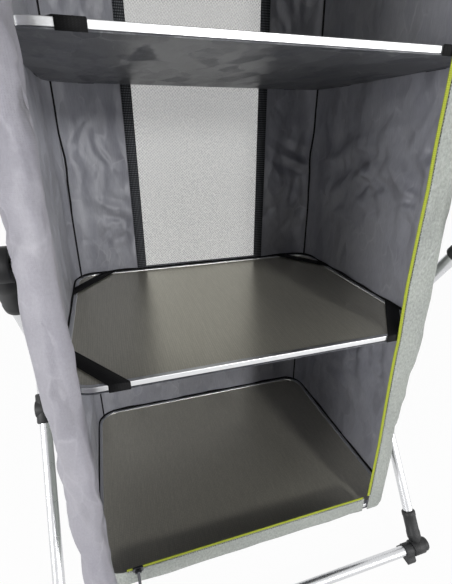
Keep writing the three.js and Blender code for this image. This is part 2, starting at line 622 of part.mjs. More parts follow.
function addWalls() {
  const quarter = Math.PI / 4;
  const seamHalf = (PIPING_DIAMETER / 2 + PIPING_GAP) / wallRadius;
  const seamTurn = Math.PI + seamAngle;
  const leftBackArc = arcPoints(leftBack, 3 * quarter + seamHalf, Math.PI);
  const leftFrontArc = arcPoints(leftFront, Math.PI, seamTurn);
  const left = [
    ...leftBackArc,
    ...straightBetween(leftBackArc.at(-1), leftFrontArc[0], WALL_COLUMNS),
    ...leftFrontArc,
  ];
  add('wall_left', wall(left, wallBottom, wallTop, WALL_ROWS, 1), greyCloth);

  const rightBackArc = arcPoints(rightBack, quarter - seamHalf, 0);
  const rightFrontArc = arcPoints(rightFront, 0, -Math.PI / 2);
  const zipEdge = {
    point: new THREE.Vector2(doorRightEdge, -wallMiddleDepth),
    normal: new THREE.Vector2(0, -1),
  };
  const right = [
    ...rightBackArc,
    ...straightBetween(rightBackArc.at(-1), rightFrontArc[0], WALL_COLUMNS),
    ...rightFrontArc,
    zipEdge,
  ];
  add('wall_right', wall(right, wallBottom, wallTop, WALL_ROWS, 1), greyCloth);

  const backStart = arcPoints(rightBack, quarter + seamHalf, Math.PI / 2);
  const backEnd = arcPoints(leftBack, Math.PI / 2, 3 * quarter - seamHalf);
  const back = [...backStart, ...straightBetween(backStart.at(-1), backEnd[0], WALL_COLUMNS), ...backEnd];
  const windowBottom = boardTops[1] + WINDOW_SILL_ABOVE_BOARD;
  const windowTop = wallTop - WINDOW_HEAD_BELOW_ROOF;
  const windowBlock = (margin, thickness) => block([WINDOW_LEFT - margin, WINDOW_RIGHT + margin],
    [wallMiddleDepth - thickness / 2, wallMiddleDepth + thickness / 2],
    [windowBottom - Math.min(margin, TAPE_HEM), windowTop + margin]);
  const through = 2 * CLOTH_THICKNESS;
  const plainBack = wall(back, wallBottom, wallTop, 1, 0);
  const backWithOpening = cut(solid(plainBack), [windowBlock(TAPE_WIDTH, through)]);
  add('wall_back', geometryOf(backWithOpening), greyCloth);
  add('window_mesh', closed(windowBlock(-RUNNING_GAP, MESH_THICKNESS)), paleMesh);
  const tape = cut(solid(windowBlock(TAPE_WIDTH - RUNNING_GAP, TAPE_THICKNESS)), [windowBlock(0, through)]);
  add('window_tape', geometryOf(tape), blackWebbing);

  const front = [
    ...arcPoints(leftFront, seamTurn + seamHalf / 2, 1.5 * Math.PI),
    ...[-0.5, 0, 0.5, 1].map((share) => ({
      point: new THREE.Vector2(share * (doorRightEdge - RUNNING_GAP), -wallMiddleDepth),
      normal: new THREE.Vector2(0, -1),
    })),
  ];
  add('door_header', wall(front, headerBottom, wallTop, 1, 0), greyCloth);
  add('door_sill', wall(front, wallBottom, sillTop, 1, 0), greyCloth);

  const seam = planPoint(rightBack, quarter).point;
  const cordRadius = PIPING_DIAMETER / 2;
  const cord = new THREE.CylinderGeometry(cordRadius, cordRadius, wallTop - wallBottom, BORE_SIDES)
    .rotateX(Math.PI / 2)
    .translate(seam.x, seam.y, (wallTop + wallBottom) / 2);
  addPair('corner_piping', cord, blackWebbing);
}

// The door's plan when it is gathered: forward from its seam along the right, round the broad turn,
// back along the left, and then to and fro inside until the door's whole width is used up.
const doorSeam = planPoint(leftFront, Math.PI + seamAngle);
const doorWidth = wallRadius * (Math.PI / 2 - seamAngle) + cornerCentre.x + doorRightEdge;
const bunchRight = DOOR_BUNCH_INSET - BOARD_WIDTH / 2;
const bunchLeft = DOOR_CLOTH_THICKNESS / 2 + DOOR_PIN_CLEARANCE + PIN_HEAD_HEIGHT - pinStart;

function doorPlan() {
  const start = doorSeam.point.clone()
    .addScaledVector(doorSeam.normal, CLOTH_THICKNESS / 2 + DOOR_LEAD);
  const depthAt = (share) => start.y - share * doorWidth;
  const [right, rightPull, leftPull, left] = DOOR_WRAP_SHARES.map(depthAt);
  const [foldBack, foldFront] = DOOR_FOLD_SHARES.map(depthAt);
  const radius = DOOR_PITCH_SHARE * (bunchRight - bunchLeft) / 2;
  const plan = new THREE.Path([start]);
  plan.lineTo(bunchRight, right);
  plan.bezierCurveTo(bunchRight, rightPull, bunchLeft, leftPull, bunchLeft, left);
  plan.lineTo(bunchLeft, foldBack);
  for (let fold = 0; fold < DOOR_INNER_FOLDS; fold += 1) {
    const centre = bunchLeft + (4 * fold + 1) * radius;
    plan.absarc(centre, foldBack, radius, Math.PI, 0, true);
    plan.absarc(centre + 2 * radius, foldFront, radius, Math.PI, 2 * Math.PI);
  }
  const last = plan.currentPoint;
  plan.lineTo(last.x, last.y + doorWidth - ZIP_WIDTH - plan.getLength());
  return plan.curves.flatMap((curve, i) => {
    const steps = { CubicBezierCurve: DOOR_WRAP_STEPS, EllipseCurve: DOOR_BEND_STEPS }[curve.type] ?? 1;
    return curve.getPoints(steps).slice(i ? 1 : 0);
  });
}

const doorOutline = doorPlan();
const doorBottom = sillTop + DOOR_GAP + ZIP_WIDTH;
const doorTop = headerBottom - DOOR_GAP - ZIP_WIDTH;

function doorNormal(index) {
  const before = doorOutline[Math.max(0, index - 1)];
  const after = doorOutline[Math.min(doorOutline.length - 1, index + 1)];
  const along = after.clone().sub(before).normalize();
  return new THREE.Vector3(-along.y, along.x, 0);
}

function addDoor() {
  const columns = doorOutline.length - 1;
  const seamY = doorOutline[0].y;
  const heightAt = (v) => THREE.MathUtils.lerp(doorBottom, doorTop, v);
  const drawnY = (y, v) => THREE.MathUtils.lerp(y, seamY, DOOR_WAIST_SHARE * Math.sin(Math.PI * v) ** 2);
  const pointAt = (u, v) => {
    const point = doorOutline[Math.round(u * columns)];
    return new THREE.Vector3(point.x, drawnY(point.y, v), heightAt(v));
  };
  const normalAt = (u) => doorNormal(Math.round(u * columns));
  add('door_cloth', cloth(columns, DOOR_ROWS, DOOR_CLOTH_THICKNESS, pointAt, normalAt), greyCloth);
  const end = doorOutline.at(-1);
  const zipEnd = (v) => drawnY(end.y, v) + RUNNING_GAP + ZIP_WIDTH / 2;
  const zipAt = (u, v) => new THREE.Vector3(end.x, zipEnd(v) + (u - 0.5) * ZIP_WIDTH, heightAt(v));
  const across = () => new THREE.Vector3(1, 0, 0);
  add('door_zip_edge', cloth(1, DOOR_ROWS, ZIP_THICKNESS, zipAt, across), limeZip);
}

// The zip's fixed half: up the right jamb and along the header in one piece, and along the sill.
const zipFace = wallMiddleDepth;
const zipSillBottom = sillTop + RUNNING_GAP;

function addZip() {
  const depth = [-zipFace - ZIP_THICKNESS / 2, -zipFace + ZIP_THICKNESS / 2];
  const jambRight = doorRightEdge - RUNNING_GAP;
  const jambTop = headerBottom - RUNNING_GAP;
  const jamb = block([jambRight - ZIP_WIDTH, jambRight], depth,
    [zipSillBottom + ZIP_WIDTH + RUNNING_GAP, jambTop]);
  const header = block([-cornerCentre.x, jambRight], depth, [jambTop - ZIP_WIDTH, jambTop]);
  const sill = block([-cornerCentre.x, jambRight], depth, [zipSillBottom, zipSillBottom + ZIP_WIDTH]);
  add('zip_jamb', geometryOf(join([jamb, header])), limeZip);
  add('zip_sill', closed(sill), limeZip);
}

// The slider rides on the sill's zip. Its pull hangs from a bail on the front.
const sliderCentreX = SLIDER_START_INSET - cornerCentre.x;
const sliderCentreZ = zipSillBottom + ZIP_WIDTH / 2;
const sliderBack = -zipFace - ZIP_THICKNESS / 2 - RUNNING_GAP;
const sliderFront = sliderBack - SLIDER_THICKNESS;
const bailDepth = sliderFront - BAIL_STANDOFF;

function addSlider() {
  const outline = roundedRectangle(SLIDER_LENGTH / 2, SLIDER_HEIGHT / 2, SLIDER_CORNER);
  const body = slab(outline, -sliderBack, SLIDER_THICKNESS)
    .rotateX(Math.PI / 2)
    .translate(sliderCentreX, 0, sliderCentreZ);
  const post = (side) => {
    const inner = sliderCentreX + side * BAIL_WIDTH / 2;
    const across = [inner - BAIL_RADIUS, inner + BAIL_RADIUS];
    return block(across, [bailDepth - BAIL_RADIUS, sliderFront + BAIL_RADIUS],
      [sliderCentreZ - BAIL_RADIUS, sliderCentreZ + BAIL_RADIUS]);
  };
  const [near, far] = [sliderCentreX - BAIL_WIDTH / 2, sliderCentreX + BAIL_WIDTH / 2];
  const bail = rodAlongX(BAIL_RADIUS, near, far, bailDepth, sliderCentreZ, BORE_SIDES);
  add('zip_slider', geometryOf(join([body, post(-1), post(1), bail])), zincPull);

  const shape = new THREE.Shape();
  const half = PULL_THICKNESS / 2;
  shape.absarc(0, 0, PULL_EYE_RADIUS, 0, Math.PI);
  shape.lineTo(-half, -2 * PULL_EYE_RADIUS);
  shape.lineTo(-half, -PULL_LENGTH);
  shape.lineTo(half, -PULL_LENGTH);
  shape.lineTo(half, -2 * PULL_EYE_RADIUS);
  shape.closePath();
  const eye = new THREE.Path();
  eye.absarc(0, 0, BAIL_RADIUS + RUNNING_GAP, 0, 2 * Math.PI);
  shape.holes.push(eye);
  const width = BAIL_WIDTH - 2 * BAIL_RADIUS - 2 * RUNNING_GAP;
  const tab = slab(shape, -width / 2, width, CLOTH_CORNER_STEPS)
    .rotateX(Math.PI / 2)
    .rotateZ(Math.PI / 2)
    .translate(sliderCentreX, bailDepth, sliderCentreZ);
  add('zip_pull', closed(tab), zincPull);
}

// A cloth tunnel hangs the body from a top rail: a loop round the rail with a hem on the roof.
function railTunnel(side, hemBottom) {
  const loop = tubeRadius + RUNNING_GAP + TUNNEL_THICKNESS;
  const edge = wallInnerDepth + CLOTH_THICKNESS - pivotHalfDepth;
  const hem = hemBottom - topPivotHeight;
  const shape = new THREE.Shape();
  shape.moveTo(edge - TUNNEL_HEM, hem);
  shape.lineTo(edge, hem);
  shape.lineTo(0, -loop);
  shape.absarc(0, 0, loop, 1.5 * Math.PI, TUNNEL_CLOSE_TURN * Math.PI);
  shape.lineTo(edge, hem + TUNNEL_THICKNESS);
  shape.lineTo(edge - TUNNEL_HEM, hem + TUNNEL_THICKNESS);
  shape.closePath();
  const hole = new THREE.Path();
  hole.absarc(0, 0, railBore, 0, 2 * Math.PI);
  shape.holes.push(hole);
  const tunnel = slab(shape, -TUNNEL_LENGTH / 2, TUNNEL_LENGTH, CORNER_STEPS * 2)
    .rotateX(Math.PI / 2)
    .rotateZ(Math.PI / 2);
  return tunnel.scale(1, side, 1).translate(0, side * pivotHalfDepth, topPivotHeight);
}

// The roof with its back tunnel sewn on. The front tunnel is buttoned to the roof.
function addRoof() {
  const half = { x: wallInnerWidth + CLOTH_THICKNESS, y: wallInnerDepth + CLOTH_THICKNESS };
  const shape = roundedRectangle(half.x, half.y, wallRadius + CLOTH_THICKNESS / 2);
  const roof = slab(shape, roofBottom, CLOTH_THICKNESS, CLOTH_CORNER_STEPS);
  add('roof_cloth', geometryOf(join([roof, railTunnel(1, roofBottom + CLOTH_THICKNESS / 2)])), greyCloth);
  add('front_tunnel', closed(railTunnel(-1, roofBottom + CLOTH_THICKNESS + RUNNING_GAP)), greyCloth);
}

addLegs();
addRails();
addBoards();
addWalls();
addDoor();
addZip();
addSlider();
addRoof();

// The origin lies under the middle of the whole outline, at the base of the feet.
const reach = new THREE.Box3().setFromObject(cupboard);
cupboard.position.y = -(reach.min.y + reach.max.y) / 2;

const placed = new THREE.Group();
placed.add(cupboard);

export default placed;
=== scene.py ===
"""Looks of a folding camping cupboard with a scissor frame, a cloth body and framed boards.

Every size is in millimetres until it is turned to metres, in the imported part's own frame:
+Z up, the open front towards -Y, X across the width.
"""

from __future__ import annotations

import logging
import math
from collections.abc import Callable, Sequence
from dataclasses import dataclass
from enum import Enum

import bmesh
import bpy
import numpy as np
from mathutils import Matrix, Vector


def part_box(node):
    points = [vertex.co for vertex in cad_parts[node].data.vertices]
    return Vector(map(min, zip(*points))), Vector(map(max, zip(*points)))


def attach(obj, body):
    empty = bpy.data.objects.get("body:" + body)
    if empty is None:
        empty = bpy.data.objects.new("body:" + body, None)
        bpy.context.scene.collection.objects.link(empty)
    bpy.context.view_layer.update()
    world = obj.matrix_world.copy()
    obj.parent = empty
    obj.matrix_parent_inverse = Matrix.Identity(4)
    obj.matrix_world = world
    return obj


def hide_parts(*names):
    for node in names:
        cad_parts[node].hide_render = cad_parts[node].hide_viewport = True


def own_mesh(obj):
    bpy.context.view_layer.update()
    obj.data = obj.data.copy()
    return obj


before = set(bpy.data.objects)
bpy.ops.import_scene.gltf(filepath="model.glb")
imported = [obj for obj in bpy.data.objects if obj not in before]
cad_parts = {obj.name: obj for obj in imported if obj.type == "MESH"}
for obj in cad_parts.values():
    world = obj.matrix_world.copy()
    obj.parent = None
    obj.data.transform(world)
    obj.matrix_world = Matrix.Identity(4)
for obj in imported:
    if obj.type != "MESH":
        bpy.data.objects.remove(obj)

MM = 0.001
CLOTH_UV = "cloth"
LOG = logging.getLogger("cupboard")
Mesh = bmesh.types.BMesh
Piece = bpy.types.Object
Tree = bpy.types.NodeTree
Colour = tuple[float, float, float, float]
Spot = tuple[float, float, float]
Profile = Sequence[tuple[float, float]]
Rows = np.ndarray
Field = Callable[[Rows, Rows], Rows]


# Small tools


def linear(code: str) -> Colour:
    """Turn an sRGB hex colour into linear red, green, blue and alpha.

    Args:
        code: The colour as six hex digits after a hash sign.

    Returns:
        The colour as Blender's shaders read it.
    """
    parts = [int(code[i : i + 2], 16) / 255 for i in (1, 3, 5)]
    red, green, blue = (c / 12.92 if c <= 0.04045 else ((c + 0.055) / 1.055) ** 2.4 for c in parts)
    return red, green, blue, 1.0


def node(
    tree: Tree, kind: str, inputs: dict[str | int, object] | None = None,
    stops: Sequence[tuple[float, str]] = (), **settings: object,
) -> bpy.types.Node:
    """Add a shader node, with its settings, values and links.

    Args:
        tree: The node tree that the node goes into.
        kind: The node's Blender type, without the word ShaderNode.
        inputs: Values by socket name or number. A socket is linked, and so is a node's first output.
        stops: For a colour ramp, its two positions from 0 to 1 with their hex colours.
        **settings: Attributes set on the node before its sockets.

    Returns:
        The new node.
    """
    made = tree.nodes.new(f"ShaderNode{kind}")
    for name, value in settings.items():
        setattr(made, name, value)
    for name, value in (inputs or {}).items():
        if isinstance(value, bpy.types.Node):
            value = value.outputs[0]
        if isinstance(value, bpy.types.NodeSocket):
            tree.links.new(value, made.inputs[name])
        else:
            made.inputs[name].default_value = value
    for point, (position, code) in zip(made.color_ramp.elements if stops else (), stops):
        point.position, point.color = position, linear(code)
    return made


def emptied(owner: bpy.types.Material | bpy.types.World) -> Tree:
    """Return a material's or a world's node tree with nothing in it.

    Args:
        owner: The material or the world.

    Returns:
        The empty tree.
    """
    owner.use_nodes = True
    owner.node_tree.nodes.clear()
    return owner.node_tree


def grain_scale(size: float) -> float:
    """Return the Noise or Voronoi scale whose grains are about so many millimetres wide."""
    return 1 / (size * MM)


def crossed_bands(
    tree: Tree, place: object, pitches: tuple[float, float], waver: float = 0.0
) -> bpy.types.Node:
    """Multiply bands along X and along Y, which gives the raised spots of a weave.

    Args:
        tree: The node tree that the nodes go into.
        place: The coordinates that the bands follow.
        pitches: Distance from band to band along X and along Y in millimetres.
        waver: How far the bands waver.

    Returns:
        The node that gives the height.
    """
    bands = [
        node(
            tree, "TexWave", {"Vector": place, "Scale": math.tau / (20 * pitch * MM), "Distortion": waver},
            bands_direction=way,
        ).outputs["Fac"]
        for way, pitch in zip("XY", pitches)
    ]
    return node(tree, "Math", dict(enumerate(bands)), operation="MULTIPLY")


def threaded(bm: Mesh, run: Callable[[Vector], Sequence[float]]) -> None:
    """Map a mesh's threads.

    Args:
        bm: The mesh, in metres.
        run: Gives the distances along and across the threads, in metres, for a place on the mesh.
    """
    threads = bm.loops.layers.uv.get(CLOTH_UV) or bm.loops.layers.uv.new(CLOTH_UV)
    for face in bm.faces:
        for loop in face.loops:
            loop[threads].uv = run(loop.vert.co)


def poured(into: Mesh, part: Mesh) -> None:
    """Add one bmesh to another and free it.

    Args:
        into: The bmesh that grows.
        part: The bmesh that is added.
    """
    spare = bpy.data.meshes.new("spare")
    part.to_mesh(spare)
    part.free()
    into.from_mesh(spare)
    bpy.data.meshes.remove(spare)


def rod(radius: float, start: float, end: float) -> Profile:
    """Return the profile of a plain round rod from one height to another."""
    return [(0, start), (radius, start), (radius, end), (0, end)]


def turned(profile: Profile, place: Matrix | None = None, steps: int = 40) -> Mesh:
    """Spin a profile round Z into a closed body.

    Args:
        profile: Points as radius and height in millimetres, from axis to axis.
        place: Puts the body in its place.
        steps: How many faces go round.

    Returns:
        The body in metres.
    """
    bm = bmesh.new()
    verts = [bm.verts.new((radius * MM, 0, height * MM)) for radius, height in profile]
    edges = [bm.edges.new(pair) for pair in zip(verts, verts[1:])]
    bmesh.ops.spin(
        bm, geom=verts + edges, cent=(0, 0, 0), axis=(0, 0, 1), angle=math.tau, steps=steps, use_merge=True
    )
    bmesh.ops.remove_doubles(bm, verts=bm.verts, dist=1e-6)
    bmesh.ops.recalc_face_normals(bm, faces=bm.faces)
    bmesh.ops.transform(bm, matrix=place or Matrix(), verts=bm.verts)
    return bm


def along(start: Vector, end: Vector) -> Matrix:
    """Return the matrix that puts Z on the line from start to end, both in millimetres."""
    turn = (end - start).to_track_quat("Z", "Y").to_matrix().to_4x4()
    return Matrix.Translation(start * MM) @ turn


def rounded_slab(size: Spot, corner: float, middle: Vector, segments: int = 14) -> Mesh:
    """Make an upright slab with round corners.

    Args:
        size: Its size along X, Y and Z in millimetres.
        corner: Radius of the upright corners in millimetres.
        middle: Its middle in millimetres.
        segments: Faces round each corner.

    Returns:
        The slab in metres.
    """
    bm = bmesh.new()
    bmesh.ops.create_cube(bm, size=1)
    bmesh.ops.scale(bm, vec=[side * MM for side in size], verts=bm.verts)
    upright = [edge for edge in bm.edges if abs(edge.verts[0].co.z - edge.verts[1].co.z) > size[2] * MM / 2]
    bmesh.ops.bevel(
        bm, geom=upright, offset=corner * MM, segments=segments, profile=0.5, affect="EDGES", material=-1
    )
    bmesh.ops.translate(bm, vec=middle * MM, verts=bm.verts)
    return bm


def joined_copy(name: str) -> Mesh:
    """Return a copy of a CAD node's mesh, its loose triangles joined into flat faces.

    Args:
        name: The node's name.

    Returns:
        The copy in metres.
    """
    bm = bmesh.new()
    bm.from_mesh(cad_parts[name].data)
    bmesh.ops.remove_doubles(bm, verts=bm.verts, dist=1e-6)
    bmesh.ops.dissolve_limit(
        bm, angle_limit=math.radians(1), use_dissolve_boundaries=False, verts=bm.verts, edges=bm.edges
    )
    return bm


def opened(bm: Mesh, across: tuple[float, float], up: tuple[float, float]) -> None:
    """Cut a square opening into a cloth that faces along Y.

    Args:
        bm: The cloth, in metres.
        across: The opening's left and right edge in millimetres.
        up: Its lower and upper edge in millimetres.
    """
    for axis, edges in ((0, across), (2, up)):
        for edge in edges:
            normal = Vector([float(k == axis) for k in range(3)])
            bmesh.ops.bisect_plane(
                bm, geom=[*bm.verts, *bm.edges, *bm.faces], plane_co=normal * edge * MM, plane_no=normal
            )
    middles = [(face, face.calc_center_median() / MM) for face in bm.faces]
    inner = [face for face, spot in middles if across[0] < spot.x < across[1] and up[0] < spot.z < up[1]]
    bmesh.ops.delete(bm, geom=inner, context="FACES")


def cloth_grid(cells: tuple[int, int], place: Field, size: tuple[float, float]) -> Mesh:
    """Lay a grid of cloth into its shape, with a map of threads in metres.

    Args:
        cells: Cells across and up.
        place: Gives the points in millimetres for shares across and up, as rows of x, y and z.
        size: The cloth's flat size in millimetres, across and up.

    Returns:
        The shaped cloth in metres.
    """
    bm = bmesh.new()
    bmesh.ops.create_grid(bm, x_segments=cells[0], y_segments=cells[1], size=1)
    bm.verts.ensure_lookup_table()
    bm.verts.index_update()
    shares = np.array([vert.co.xy for vert in bm.verts]) * 0.5 + 0.5
    spots = place(shares[:, 0], shares[:, 1]) * MM
    threads = bm.loops.layers.uv.new(CLOTH_UV)
    for face in bm.faces:
        for loop in face.loops:
            share = shares[loop.vert.index]
            loop[threads].uv = (share[0] * size[0] * MM, share[1] * size[1] * MM)
    for vert, spot in zip(bm.verts, spots, strict=True):
        vert.co = spot
    bm.normal_update()
    return bm


@dataclass
class Crumple:
    """Broad swells and faceted crumples of coated cloth, the same in each run.

    Attributes:
        seed: Picks the pattern.
        swell: Height of the broad swells in millimetres.
        slope: How steep the crumples' facets are.
        count: How many crumples there are.
        size: The cloth's size across and up in millimetres.
        upright: Share by which swells and crumples run up and down rather than all ways.
        waves: Least and greatest width of a crumple in millimetres.
        ridges: How many sharp single ridges there are.
        ridge: Height of the tallest ridge in millimetres.
        grain: Size of the ridges against those of a cloth seen from a metre away.
    """

    seed: int
    swell: float
    slope: float
    count: int
    size: tuple[float, float]
    upright: float = 0.5
    waves: tuple[float, float] = (32, 110)
    ridges: int = 60
    ridge: float = 2.6
    grain: float = 1.0

    def height(self, run: Rows, rise: Rows) -> Rows:
        """Return how far the cloth stands out.

        Args:
            run: Places across the cloth in millimetres.
            rise: Places up the cloth in millimetres.

        Returns:
            Heights in millimetres.
        """
        dice = np.random.default_rng(self.seed)
        out = np.zeros_like(run)
        for _ in range(6):
            wave = dice.uniform(140, 320)
            lean = dice.normal(0, 0.9 * (1 - self.upright) + 0.12)
            phase = dice.uniform(0, math.tau)
            bend = 0.6 * np.sin(rise / dice.uniform(120, 300) + phase)
            out += self.swell / 3 * np.sin(math.tau * (run + lean * rise) / wave + phase + bend)
        bent_run = run + 7 * np.sin(rise / 41 + self.seed) + 3 * np.sin(rise / 15 + run / 23)
        bent_rise = rise + 7 * np.sin(run / 37 + self.seed) + 3 * np.sin(run / 17 - rise / 29)

        def seen_from(x: float, z: float, lean: float) -> tuple[Rows, Rows]:
            """Return the places across and ahead of a leaning crumple's middle.

            Args:
                x: Its middle across the cloth.
                z: Its middle up the cloth.
                lean: How far it leans, in radians.

            Returns:
                Both distances in millimetres.
            """
            step_x, step_z = bent_run - x, bent_rise - z
            across = step_x * math.cos(lean) + step_z * math.sin(lean)
            return across, step_z * math.cos(lean) - step_x * math.sin(lean)

        for _ in range(self.count):
            x, z = dice.uniform(0, self.size[0]), dice.uniform(0, self.size[1])
            wave = self.waves[0] * (self.waves[1] / self.waves[0]) ** dice.random()
            across, ahead = seen_from(x, z, dice.normal(0, 0.2 + 1.3 * (1 - self.upright)))
            fold = np.arcsin(0.97 * np.sin(math.tau * across / wave + dice.uniform(0, math.tau))) / 1.33
            near = np.exp(-((across / wave) ** 2) - (ahead / (wave * dice.uniform(0.8, 2.2))) ** 2)
            out += self.slope * wave / 4 * dice.uniform(0.35, 1) * fold * near
        for _ in range(self.ridges):
            x, z = dice.uniform(0, self.size[0]), dice.uniform(0, self.size[1])
            length, width = dice.uniform(22, 85) * self.grain, dice.uniform(5, 11) * self.grain
            across, ahead = seen_from(x, z, dice.normal(0, 0.25 + 1.2 * (1 - self.upright)))
            across = across + dice.uniform(-14, 14) * self.grain * (ahead / length) ** 2
            sharp = np.exp(-np.hypot(across, 1.6) / width) * np.exp(-((ahead / length) ** 2))
            out += self.ridge * dice.uniform(0.4, 1) * dice.choice([-1, 1]) * sharp
        return out


# Finishes


@dataclass(frozen=True)
class Stuff:
    """What a piece is made of. Each kind says what its surface gives the shader.

    Attributes:
        name: The material's name.
    """

    name: str

    def surface(self, tree: Tree) -> dict[str | int, object]:
        """Return the shader's inputs, from nodes added to the tree."""
        raise NotImplementedError

    def material(self) -> bpy.types.Material:
        """Return the material, made once.

        Returns:
            The material.
        """
        made = bpy.data.materials.get(self.name)
        if made is None:
            made = bpy.data.materials.new(self.name)
            tree = emptied(made)
            shader = node(tree, "BsdfPrincipled", self.surface(tree))
            node(tree, "OutputMaterial", {"Surface": shader})
        return made


@dataclass(frozen=True)
class WovenPolyester(Stuff):
    """Coated polyester, plain woven and melange dyed: a faint upright streak, broad patches of painted shade
    for its wrinkles, and pale lines painted along its creases as their highlight.

    Attributes:
        pale: Colour of the paler threads.
        dark: Colour of the darker threads.
        streak: How long the melange streaks are, against their width.
        rough: Roughness, lower on the coated side, which has a satin gloss on its folds.
        fleck: Width of a melange fleck in millimetres.
        crease_highlight: How pale the painted highlight along the crease lines is, from 0 to 1.
        facet: Width of a crumpled facet in millimetres.
        tilt: How far the facets lean.
        soft: How softly one facet runs into the next, from 0 to 1.
        thread: Distance between the drawn threads in millimetres, coarser than the real 0.4 mm
            so that the weave shows.
        cloud: Width of the patches of painted shade, slightly darker, that stand for the shading of broad
            wrinkles, in millimetres.
        stray: Width of the patches in which crease lines wander or fade in millimetres.
        crush: Width of the small crush marks in millimetres.
    """

    pale: str
    dark: str
    streak: float = 14
    rough: float = 0.38
    fleck: float = 2.2
    crease_highlight: float = 0.22
    facet: float = 26
    tilt: float = 0.4
    soft: float = 0.4
    thread: float = 1.5
    cloud: float = 90
    stray: float = 60
    crush: float = 16

    def surface(self, tree: Tree) -> dict[str | int, object]:
        """Return the cloth's colour, gloss and lean.

        Args:
            tree: The material's node tree.

        Returns:
            The shader's inputs.
        """
        threads = node(tree, "UVMap", uv_map=CLOTH_UV)
        long = node(tree, "Mapping", {"Vector": threads, "Scale": (1, 1 / self.streak, 1)})
        melange = node(
            tree, "TexNoise",
            {"Vector": long, "Scale": grain_scale(self.fleck), "Detail": 4.0, "Roughness": 0.65},
        )
        tone = node(tree, "ValToRGB", {"Fac": melange}, [(0.32, self.dark), (0.68, self.pale)])
        # Broad patches of painted shade, slightly darker than the cloth, stand for the shading of broad
        # wrinkles.
        cloud = node(tree, "TexNoise", {"Vector": threads, "Scale": grain_scale(self.cloud), "Detail": 3.0})
        shade = node(tree, "ValToRGB", {"Fac": cloud}, [(0.3, "#E9E9EC"), (0.7, "#FFFFFF")])
        body = node(tree, "Mix", {0: 1.0, 6: tone, 7: shade}, data_type="RGBA", blend_type="MULTIPLY")
        stray = node(tree, "TexNoise", {"Vector": threads, "Scale": grain_scale(self.stray), "Detail": 3.0})
        pull = node(tree, "VectorMath", {0: stray.outputs["Color"], "Scale": 0.035}, operation="SCALE")
        bent = node(tree, "VectorMath", {0: threads, 1: pull}, operation="ADD")
        drawn = node(tree, "Mapping", {"Vector": bent, "Rotation": (0, 0, 0.2), "Scale": (1, 0.4, 1)})
        # Pale lines along the edges of the crumpled cells are a painted highlight on the crease ridges; the
        # stray patches say where they show.
        cracks = node(
            tree, "TexVoronoi", {"Vector": drawn, "Scale": grain_scale(self.facet)},
            feature="DISTANCE_TO_EDGE",
        )
        line = node(tree, "MapRange", {0: cracks, 1: 0.0, 2: 0.05, 3: 1.0, 4: 0.0})
        patch = node(tree, "MapRange", {0: stray, 1: 0.48, 2: 0.7, 3: 0.0, 4: 1.0})
        crease = node(tree, "Math", {0: line, 1: patch}, operation="MULTIPLY")
        painted_crease_highlight = node(tree, "Math", {0: crease, 1: self.crease_highlight}, operation="MULTIPLY")
        # EDEDF0 is the colour of the painted crease highlight.
        colour = node(tree, "Mix", {0: painted_crease_highlight, 6: body.outputs[2], 7: linear("#EDEDF0")}, data_type="RGBA")
        crush = node(
            tree, "TexNoise",
            {"Vector": threads, "Scale": grain_scale(self.crush), "Detail": 5.0, "Roughness": 0.6},
        )
        broad = node(tree, "Bump", {"Height": crush, "Strength": 0.25, "Distance": 2.2 * MM})
        weave = crossed_bands(tree, threads, (self.thread, self.thread))
        normal = node(
            tree, "Bump", {"Height": weave, "Strength": 0.35, "Distance": 0.25 * MM, "Normal": broad}
        )
        for size, share in ((self.facet, 1.0), (self.facet * 0.42, 0.3)):
            cell = node(
                tree, "TexVoronoi", {"Vector": drawn, "Scale": grain_scale(size), "Smoothness": self.soft},
                feature="SMOOTH_F1",
            ).outputs["Color"]
            middle = node(tree, "VectorMath", {0: cell, 1: (0.5, 0.5, 0.5)}, operation="SUBTRACT")
            lean = node(tree, "VectorMath", {0: middle, "Scale": self.tilt * share}, operation="SCALE")
            normal = node(tree, "VectorMath", {0: normal, 1: lean}, operation="ADD")
        return {
            "Base Color": colour.outputs[2], "Roughness": self.rough,
            "Normal": node(tree, "VectorMath", {0: normal}, operation="NORMALIZE"),
            "Sheen Weight": 0.06, "Sheen Roughness": 0.45, "Specular IOR Level": 0.5,
        }


@dataclass(frozen=True)
class OpenMesh(Stuff):
    """Knitted polyester mesh, which lets what is behind it show through its holes.

    Attributes:
        thread_colour: Colour of the threads.
        hole_shade_colour: Painted shade on the threads round the holes, where they lie deeper.
        cell: Distance between the drawn holes in millimetres, coarser than the real 1 mm.
        speck: Width of the specks between them in millimetres.
        turn: How far the rows of holes are turned in degrees.
        cover: Share of the light that the threads hold back.
    """

    thread_colour: str = "#E4E4E0"
    hole_shade_colour: str = "#8E8F8E"
    cell: float = 3.8
    speck: float = 2
    turn: float = 38
    cover: float = 0.62

    def surface(self, tree: Tree) -> dict[str | int, object]:
        """Return the mesh's colour and holes.

        Args:
            tree: The material's node tree.

        Returns:
            The shader's inputs.
        """
        threads = node(tree, "UVMap", uv_map=CLOTH_UV)
        rows = node(tree, "Mapping", {"Vector": threads, "Rotation": (0, 0, math.radians(self.turn))})
        cells = node(
            tree, "TexVoronoi", {"Vector": rows, "Scale": grain_scale(self.cell), "Randomness": 0.3}
        )
        speck = node(tree, "TexNoise", {"Vector": threads, "Scale": grain_scale(self.speck), "Detail": 1.0})
        blend = node(tree, "Math", {0: cells, 1: speck}, operation="ADD")
        least, most = self.cover - 0.18, self.cover + 0.18
        return {
            # The threads darken towards each hole: painted shade where the knit lies deeper.
            "Base Color": node(
                tree, "ValToRGB", {"Fac": cells}, [(0.1, self.hole_shade_colour), (0.55, self.thread_colour)]
            ),
            "Roughness": 0.9, "Specular IOR Level": 0.2,
            "Alpha": node(tree, "MapRange", {0: blend, 1: 0.35, 2: 1.35, 3: least, 4: most}),
            "Normal": node(tree, "Bump", {"Height": blend, "Strength": 0.4, "Distance": 0.4 * MM}),
        }


